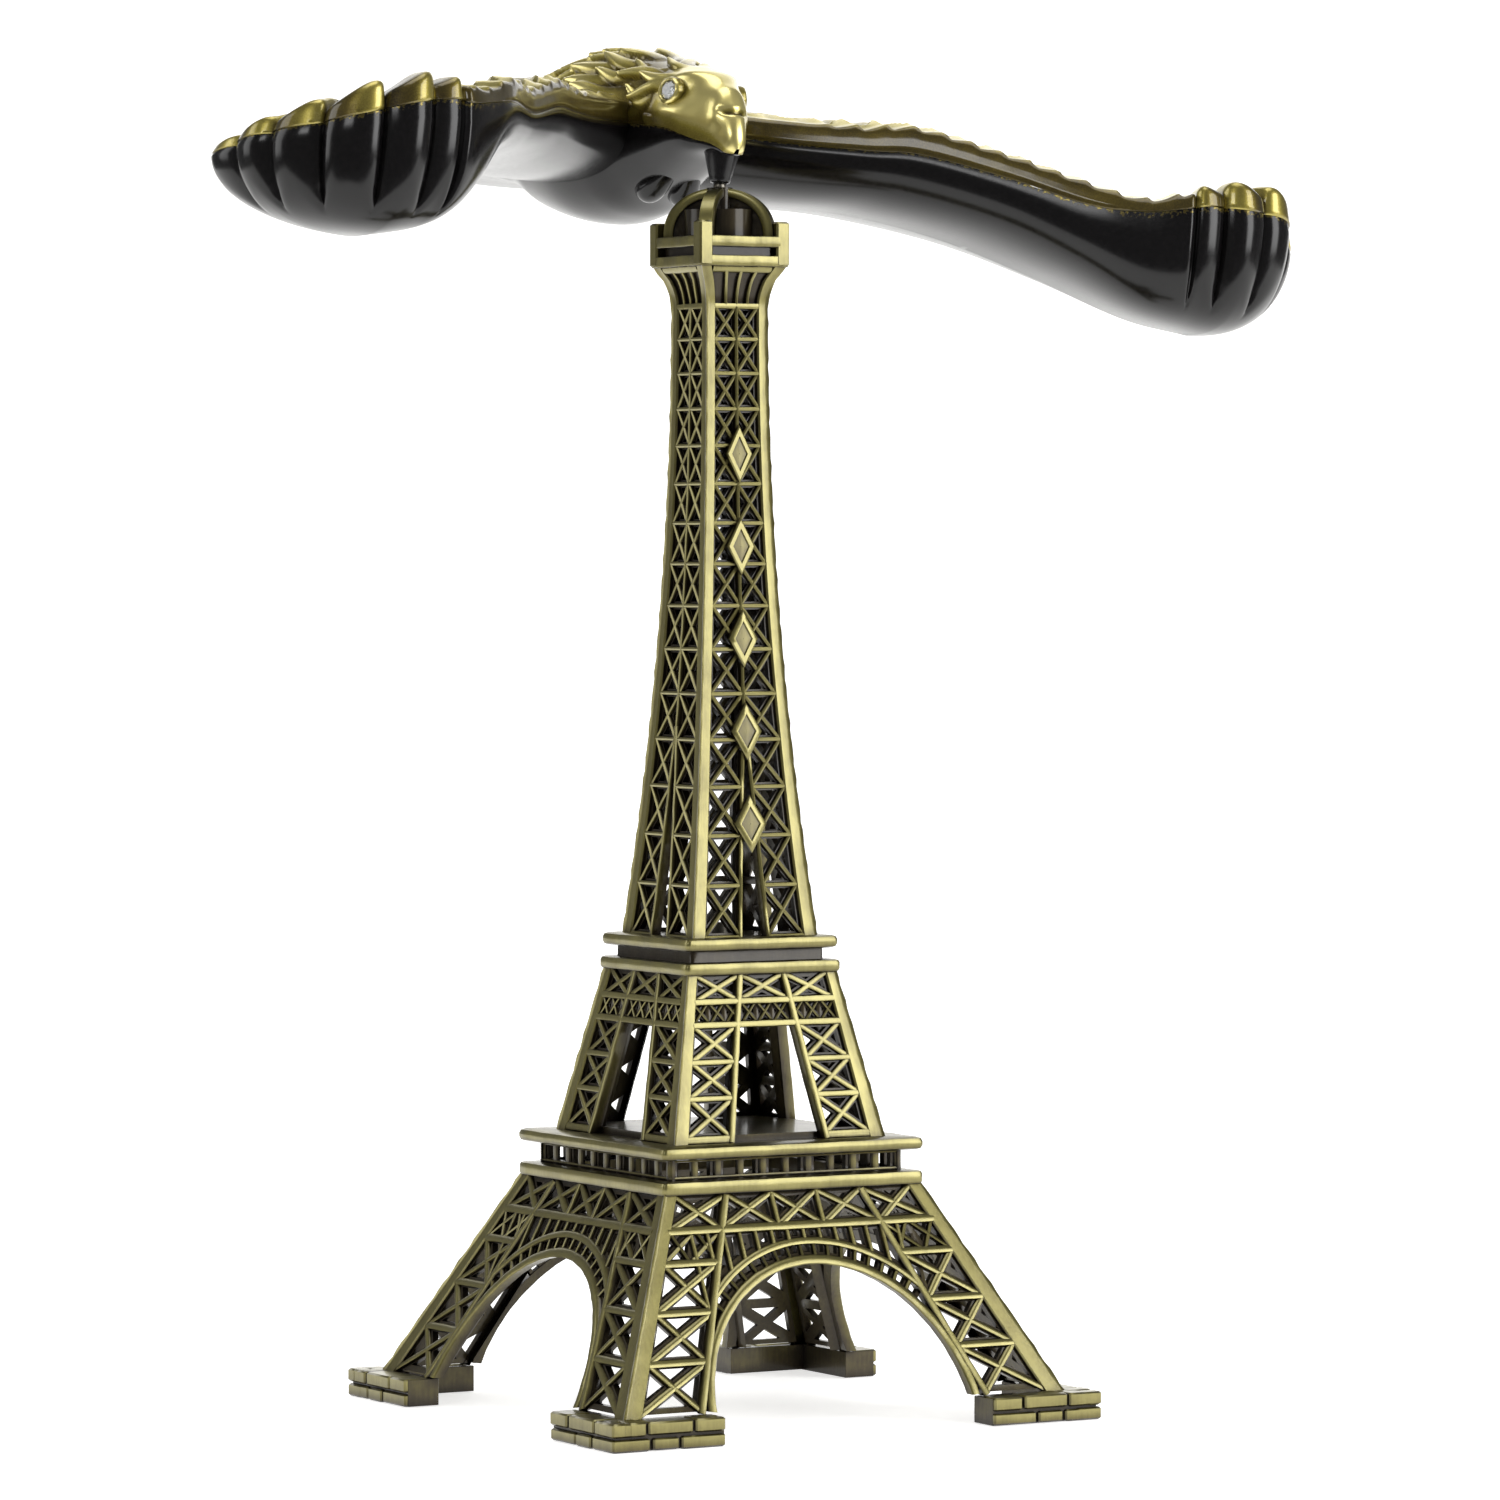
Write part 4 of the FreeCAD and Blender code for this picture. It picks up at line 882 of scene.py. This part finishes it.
def wingUpper(side):
    count, rows = 420, 64
    outline, spine, cap, at, arc, reach = wingFrame(count, side)
    inHand, away, step = lobes(at)
    leading = 1 - smooth(at, 14.0, 15.2)
    k = np.linspace(0, 1, rows)[:, None] ** 1.35
    rho = 1 - k
    fromEdge = k * reach  # mm in from the outline
    groove = inHand * (1 - np.sqrt(1 - 0.97 * away ** 2))
    cut = eagle["grooveDepth"] * groove * (1 - smooth(k, 0.35, 0.85))
    # flat edge, rounded over
    climb = np.interp(fromEdge, [0, 0.42, 0.6, 0.95, 1.5], [0, 0.74, 0.87, 0.97, 1.0])
    bumps = (arc / 3.6) % 1.0  # small scales lapped along the edge
    bumps = np.where(bumps < 0.8, bumps / 0.8, (1 - bumps) / 0.2)
    # each cap stands high in front, low behind
    capHigh = cap * (1 - 0.45 * groove ** 2) * (1 - inHand * 0.42 * smooth(step, 0.15, 1.0))
    lapped = (1 - inHand) * leading * smooth(at, 1.0, 2.0) * smooth(fromEdge, 0.2, 1.2)
    capHigh = capHigh + 0.7 * (bumps - 0.6) * lapped
    ridge = 1 - smooth(k, 0.22, 0.95)
    palm = spine[:, 2]
    z = blend(outline[:, 2], palm, smooth(k, 0.05, 0.95)) + capHigh * climb * ridge
    # overlapping small feathers over the arm, long ones towards the trailing edge
    row = fromEdge / eagle["scaleLong"]
    lane = arc / eagle["scaleWide"] + 0.5 * (np.floor(row) % 2)
    crown = (np.abs(lane % 1 - 0.5) * 2) ** 2
    scale = (row + 0.42 * crown) % 1
    arm = smooth(fromEdge, 1.6, 3.2) * (1 - inHand)
    z = z + eagle["scaleLift"] * (scale - 0.5) * arm * leading
    quill = (arc / 6.2 + fromEdge * 0.035) % 1
    flight = (1 - leading) * smooth(fromEdge, 0.3, 1.5) * (1 - smooth(k, 0.62, 0.8))
    z = z + 0.8 * (quill - 0.5) * flight
    z = z + eagle["scaleLift"] * (scale - 0.5) * (1 - leading) * smooth(k, 0.62, 0.8) * smooth(1 - k, 0, 0.08)
    x, y = drawnIn(outline, spine, rho, cut, reach)
    z[0] = outline[:, 2] + 0.05
    # painted shade on the cap's outer wall and in the grooves, painted highlight on the high front of each hand
    # feather and painted shade on its low back
    over = smooth(fromEdge, 0.5, 1.5)
    shade = blend(0.10, 0.62, over) * (1 - inHand) + inHand * (0.92 - 1.0 * step ** 0.6) * (1 - 0.6 * groove)
    # painted highlight on the raised ends of the lapped edge scales, arm scales and quills, painted shade on
    # their low starts
    shade = shade + 0.25 * (bumps - 0.5) * over * (1 - inHand) * leading
    shade = shade + 0.28 * (scale - 0.5) * arm + 0.28 * (quill - 0.5) * flight
    # darker further in from the outline
    shade = shade - 0.35 * smooth(fromEdge, 3.0, 8.0)
    return np.stack([x, side * y, z], -1), np.clip(shade, 0, 1)


# body: x of the seam, seam z, half width, x and z of the ridge above, z below
bodyUpper = [
    (-67.2, 4.8, 13.9, -67.2, 4.86), (-66.6, 4.8, 14.5, -66.4, 5.9), (-60.5, 5.5, 12.6, -60.0, 7.4),
    (-54.0, 6.2, 10.5, -53.5, 8.8),
    (-44.0, 7.0, 7.6, -44.0, 10.8), (-36.0, 7.5, 8.7, -36.0, 13.2), (-29.0, 7.8, 9.6, -28.5, 15.5),
    (-22.0, 7.8, 9.0, -21.5, 16.6), (-15.5, 7.6, 7.4, -15.0, 16.0), (-10.0, 7.3, 6.0, -9.6, 14.9),
    (-5.4, 6.8, 5.2, -5.4, 14.6), (-2.8, 6.0, 4.4, -2.4, 13.6), (-0.9, 5.3, 3.2, 0.4, 12.1),
    (0.5, 5.0, 2.45, 1.8, 10.5), (1.4, 4.6, 1.95, 2.9, 8.8), (2.2, 4.2, 1.6, 3.6, 7.1),
    (2.8, 3.8, 1.2, 3.9, 5.6),
    (3.3, 3.7, 0.3, 3.8, 4.3),
]
bodyLower = [
    (-67.2, 4.8, 13.9, -67.2, 4.7), (-66.6, 4.8, 14.5, -66.4, 3.4), (-54.0, 6.2, 10.5, -54.0, 3.2),
    (-44.0, 7.0, 7.6, -44.0, 1.4),
    (-36.0, 7.5, 8.7, -36.0, -1.7), (-28.0, 7.8, 9.8, -27.0, -3.4), (-21.0, 7.8, 9.1, -20.0, -2.8),
    (-15.5, 7.6, 7.4, -15.0, -1.0), (-10.2, 7.3, 6.0, -10.0, 0.9), (-5.6, 6.8, 5.2, -5.6, 2.6),
    (-2.9, 6.0, 4.4, -3.0, 3.5), (-1.0, 5.3, 3.2, -1.2, 3.8), (0.5, 5.0, 2.35, 0.6, 3.8),
    (1.4, 4.6, 1.8, 1.4, 3.8),
    (2.1, 4.2, 1.45, 2.0, 3.6), (2.6, 3.9, 1.0, 2.5, 3.6), (2.9, 3.8, 0.3, 2.9, 3.7),
]


def tufts(along, around):
    # flame-shaped feathers laid in staggered rows, tips pointing back and down, with painted shade between them
    # and a painted highlight along each ridge
    height, shade = np.zeros_like(along), np.full_like(along, 0.2)
    local = random.Random(5)
    long_, wide, lift = eagle["tuftLong"], eagle["tuftWide"], eagle["tuftLift"]
    for j, start in enumerate(np.arange(-5.5, -66.0, -3.5)):
        lanes = np.arange(-20, 21, wide * 0.8) + (wide * 0.4 if j % 2 else 0)
        for lane in lanes:
            size = (0.82 + 0.36 * local.random()) * (0.72 if start > -11 else 1.0)
            a0, s0 = start + local.uniform(-1.2, 1.2), lane + local.uniform(-0.5, 0.5)
            swing = 0.42 * np.sign(s0) + local.uniform(-0.2, 0.2)
            curl = local.uniform(0.6, 1.2) * local.choice((-1, 1))
            p = -(along - a0) / (long_ * size)
            q = (around - s0) - swing * (p * long_ * size) - curl * np.sin(np.clip(p, 0, 1) * math.pi * 1.4)
            half = wide * size * 0.60 * np.clip(p + 0.12, 0, 1) ** 0.3 * np.clip(1 - p, 0, 1) ** 0.5
            across = np.where((p > 0) & (p < 1), np.abs(q) / np.maximum(half, 1e-3), 2.0)
            dome = np.sqrt(np.clip(1 - across ** 2, 0, 1))
            rise = (0.10 + 0.90 * np.clip(p, 0, 1) ** 0.8) * (0.35 + 0.65 * dome)
            lump = np.where(across < 1, lift * size * rise, 0)
            taller = lump > height
            height = np.where(taller, lump, height)
            # painted highlight along the tuft's ridge, painted shade at its edges and where it starts
            shade = np.where(taller, 0.06 + 0.94 * dome ** 1.5 * np.clip(p * 1.25, 0.0, 1) ** 0.7, shade)
    return height, shade


def bodyGrid(keys, count, wide, power):
    rows = throughKeys(keys, count)
    a = np.linspace(0, math.pi, wide)[None, :]
    seamX, seamZ, half, ridgeX, ridgeZ = (rows[:, i][:, None] for i in range(5))
    lift = np.sin(a) ** power
    x = seamX + (ridgeX - seamX) * lift
    z = seamZ + (ridgeZ - seamZ) * lift
    side = np.sign(np.cos(a)) * np.abs(np.cos(a)) ** 0.85
    y = half * side
    return x, y, z, rows, a


def bodyTop():
    x, y, z, rows, a = bodyGrid(bodyUpper, 280, 150, 0.8)
    half, tall = rows[:, 2][:, None], (rows[:, 4] - rows[:, 1])[:, None]
    around = (a - math.pi / 2) * (half + tall) * 0.62
    along = np.broadcast_to(x, y.shape)
    feathered = 1 - smooth(along, -8.5, -5.6)
    edge = smooth(np.sin(a), 0.02, 0.22)
    lump, tuftShade = tufts(along, around)
    lump = lump * feathered * edge
    tail = 1 - smooth(along, -52, -44)
    quills = 0.5 + 0.5 * np.cos(around * math.pi / 2.6)
    lump = blend(lump, 0.6 * quills ** 0.5, tail * 0.9)
    # brow, eye sockets, cheek, nostrils and the bead of the beak
    face = smooth(along, -8.5, -6.0)
    brow = np.exp(-((along + 3.6) / 2.6) ** 2 - ((z - 13.0) / 0.75) ** 2) * 0.55
    socket = -np.exp(-((along + 4.6) / 2.0) ** 2 - ((z - 11.2) / 1.3) ** 2) * 0.45
    cheek = np.exp(-((along + 4.6) / 3.0) ** 2 - ((z - 8.4) / 1.4) ** 2) * 0.35
    cere = np.exp(-((along - 1.4) / 0.8) ** 2) * 0.25 * smooth(z, 6, 8)
    nostril = -np.exp(-((along - 2.5) / 0.75) ** 2 - ((z - 8.8) / 0.35) ** 2) * 0.45
    features = (brow + socket + cheek + cere + nostril) * face * edge
    outward = np.stack([np.zeros_like(y), np.cos(a) * np.ones_like(y), np.sin(a) * np.ones_like(y)], -1)
    forward = smooth(along, -2.0, 3.5)[..., None] * np.array([0.8, 0, 0])
    push = outward + forward * np.sin(a)[..., None]
    grid = np.stack([along, y, z], -1) + push * (lump + features)[..., None]
    # painted highlight on the brow, cheeks and cere, painted shade in the eye sockets and nostrils
    smoothFace = 0.84 + 0.5 * features - 1.3 * np.clip(-features, 0, 1)
    # over the feathered part, the tufts' painted shade and painted highlight
    shade = blend(smoothFace, 0.05 + 0.85 * tuftShade, feathered)
    # painted shade between the tail quills, painted highlight on their ridges
    shade = blend(shade, 0.15 + 0.6 * quills ** 0.7, tail)
    # darker down the sides towards the seam
    shade = shade * blend(0.35, 1.0, smooth(np.sin(a) * np.ones_like(y), 0.0, 0.26))
    return grid, np.clip(shade, 0, 1)


def eyeBezel(moulding, side):
    at = np.array([-5.0, side * 5.0, 11.2])
    normal = np.array([0.3, side * 0.95, 0.1])
    normal /= np.linalg.norm(normal)
    u = np.cross(normal, [0, 0, 1.0])
    u /= np.linalg.norm(u)
    v = np.cross(normal, u)
    turn = np.linspace(0, 2 * math.pi, 40, endpoint=False)[None, :, None]
    around = np.cos(turn) * u + np.sin(turn) * v
    rings = []
    for radius, lift in ((1.16, -0.5), (1.16, 0.22), (1.3, 0.38), (1.5, 0.3), (1.66, 0.0), (1.8, -0.9)):
        beads = 1 + 0.02 * np.cos(turn * 12)
        rings.append(at + around * radius * beads + normal * lift)
    # painted highlight on the bezel's raised top, painted shade at its foot and inner lip
    moulding.add(np.concatenate(rings), np.array([0.2, 0.7, 0.95, 0.8, 0.4, 0.2])[:, None], True)


def eagleUpper():
    moulding = Moulding()
    for side in (1, -1):
        moulding.add(*wingUpper(side))
        eyeBezel(moulding, side)
    moulding.add(*bodyTop())
    moulding.piece("eagle_gold_upper", "shade", "eagle", ["eagle_upper"], "gold_paint", goldCoat, 50)


def eagleLower():
    moulding = Moulding()
    for side in (1, -1):
        moulding.add(*wingLower(side))
    x, y, z, _, a = bodyGrid(bodyLower, 200, 90, 0.75)
    along = np.broadcast_to(x, y.shape)
    rim = np.clip(1 - np.sin(a) * 14, 0, 1) * np.ones_like(y)
    moulding.add(np.stack([along, y, z], -1), rim)
    turn = np.linspace(0, 2 * math.pi, 56, endpoint=False)[None, :]
    cone = []
    for radius, z in throughKeys(eagle["beakCone"], 40):
        cone.append(np.stack([radius * np.cos(turn[0]), radius * np.sin(turn[0]), np.full(56, z)], -1))
    moulding.add(np.array(cone), 0.0, True)
    for side in (-1, 1):  # tucked feet, one drop each
        rings = []
        for x, y, z, r in eagle["foot"]:
            rings.append(np.stack([np.full(56, x) + 0.3 * np.sin(turn[0]), side * y + r * np.cos(turn[0]),
                                   z + r * np.sin(turn[0])], -1))
        moulding.add(throughRings(np.array(rings), 26), 0.0, True)
    moulding.piece("eagle_black_lower", "rim", "eagle", ["eagle_lower"], "black_plastic", blackAbs, 50)


def throughRings(rings, count):
    flat = rings.reshape(len(rings), -1)
    return throughKeys(flat, count).reshape(count, rings.shape[1], 3)


eagleUpper()
eagleLower()


# ---- sweep, light and camera ----
studio = {
    "sky": "#FFFFFF",
    "skyPower": 0.16,
    "paperGlow": 0.8,
    "lens": 173.0,
    "shift": (0.0203, 0.0233),
    "camera": (-0.42944, -0.74418, 0.10241),
    "aim": (0.0, 0.0, 0.0744),
    "lamps": {  # place, what it points at, size, watts
        "keyBox": ((0.62, -0.80, 0.36), (0, 0, 0.08), (0.55, 0.7), 6.5),
        "sideBox": ((-0.85, 0.55, 0.45), (0, 0, 0.08), (0.5, 0.7), 2.4),
        "edgeBox": ((-0.95, -0.55, 0.62), (0.03, 0, 0.15), (0.5, 0.16), 1.6),
        "topBox": ((0.0, -0.1, 1.1), (0, 0, 0.08), (0.8, 0.8), 5.0),
    },
}


def paperSweep():
    # a roll of pale matt paper that runs up behind in one curve
    rows = []
    for i in range(28):
        a = min(max(i - 2, 0) / 16, 1.0) * math.pi / 2
        if i < 3:
            v, z = -0.24 + i * 0.42, 0.0
        elif i < 19:
            v, z = 0.6 + 0.5 * math.sin(a), 0.5 - 0.5 * math.cos(a)
        else:
            v, z = 1.1, 0.5 + (i - 18) * 0.16
        row = []
        for j in range(9):
            u = -0.7 + j * 0.175
            row.append((u * 0.866 + v * 0.5, -u * 0.5 + v * 0.866, z - 0.0001))
        rows.append(row)
    mesh = bpy.data.meshes.new("paperSweep")
    faces = [[k, k + 1, k + 10, k + 9] for j in range(27) for k in range(j * 9, j * 9 + 8)]
    mesh.from_pydata([p for row in rows for p in row], [], faces)
    mesh.polygons.foreach_set("use_smooth", [True] * len(mesh.polygons))
    made, place = newMaterial("mattPaperRoll")
    pulp = node(made, "TexNoise", {}, {"Scale": 1 / (2 * mm), "Detail": 4.0}, place)
    colour = ramp(made, pulp, "Fac", [(0.2, "#F1F0EE"), (0.8, "#F8F8F7")])
    finish(made, node(made, "BsdfPrincipled", {}, {
        "Roughness": 0.9, "Emission Strength": studio["paperGlow"]}, {
        "Base Color": (colour, "Color"), "Emission Color": (colour, "Color")}))
    mesh.materials.append(made)
    floor = bpy.data.objects.new("paperSweep", mesh)
    bpy.context.scene.collection.objects.link(floor)


def lookingAt(place, aim):
    return (Vector(aim) - Vector(place)).to_track_quat("-Z", "Y").to_euler()


def softbox(name, place, aim, size, power):
    data = bpy.data.lights.new(name, "AREA")
    data.shape = "RECTANGLE"
    data.size, data.size_y = size
    data.energy = power
    lamp = bpy.data.objects.new(name, data)
    bpy.context.scene.collection.objects.link(lamp)
    lamp.location = place
    lamp.rotation_euler = lookingAt(place, aim)


paperSweep()
for name, lamp in studio["lamps"].items():
    softbox(name, *lamp)

world = bpy.data.worlds.new("studioWorld")
bpy.context.scene.world = world
world.use_nodes = True
background = world.node_tree.nodes["Background"]
background.inputs["Color"].default_value = linear(studio["sky"])
ray = world.node_tree.nodes.new("ShaderNodeLightPath")  # white to look at, dimmer as a light
power = world.node_tree.nodes.new("ShaderNodeMapRange")
power.inputs["To Min"].default_value, power.inputs["To Max"].default_value = studio["skyPower"], 1.0
world.node_tree.links.new(ray.outputs["Is Camera Ray"], power.inputs["Value"])
world.node_tree.links.new(power.outputs["Result"], background.inputs["Strength"])

cameraData = bpy.data.cameras.new("viewCamera")
cameraData.lens = studio["lens"]
cameraData.sensor_width = 36.0
cameraData.shift_x, cameraData.shift_y = studio["shift"]
cameraData.clip_start, cameraData.clip_end = 0.01, 20
camera = bpy.data.objects.new("viewCamera", cameraData)
bpy.context.scene.collection.objects.link(camera)
camera.location = studio["camera"]
camera.rotation_euler = lookingAt(studio["camera"], studio["aim"])
bpy.context.scene.camera = camera
bpy.context.scene.view_settings.view_transform = "Standard"
print("stage, lights and camera set")
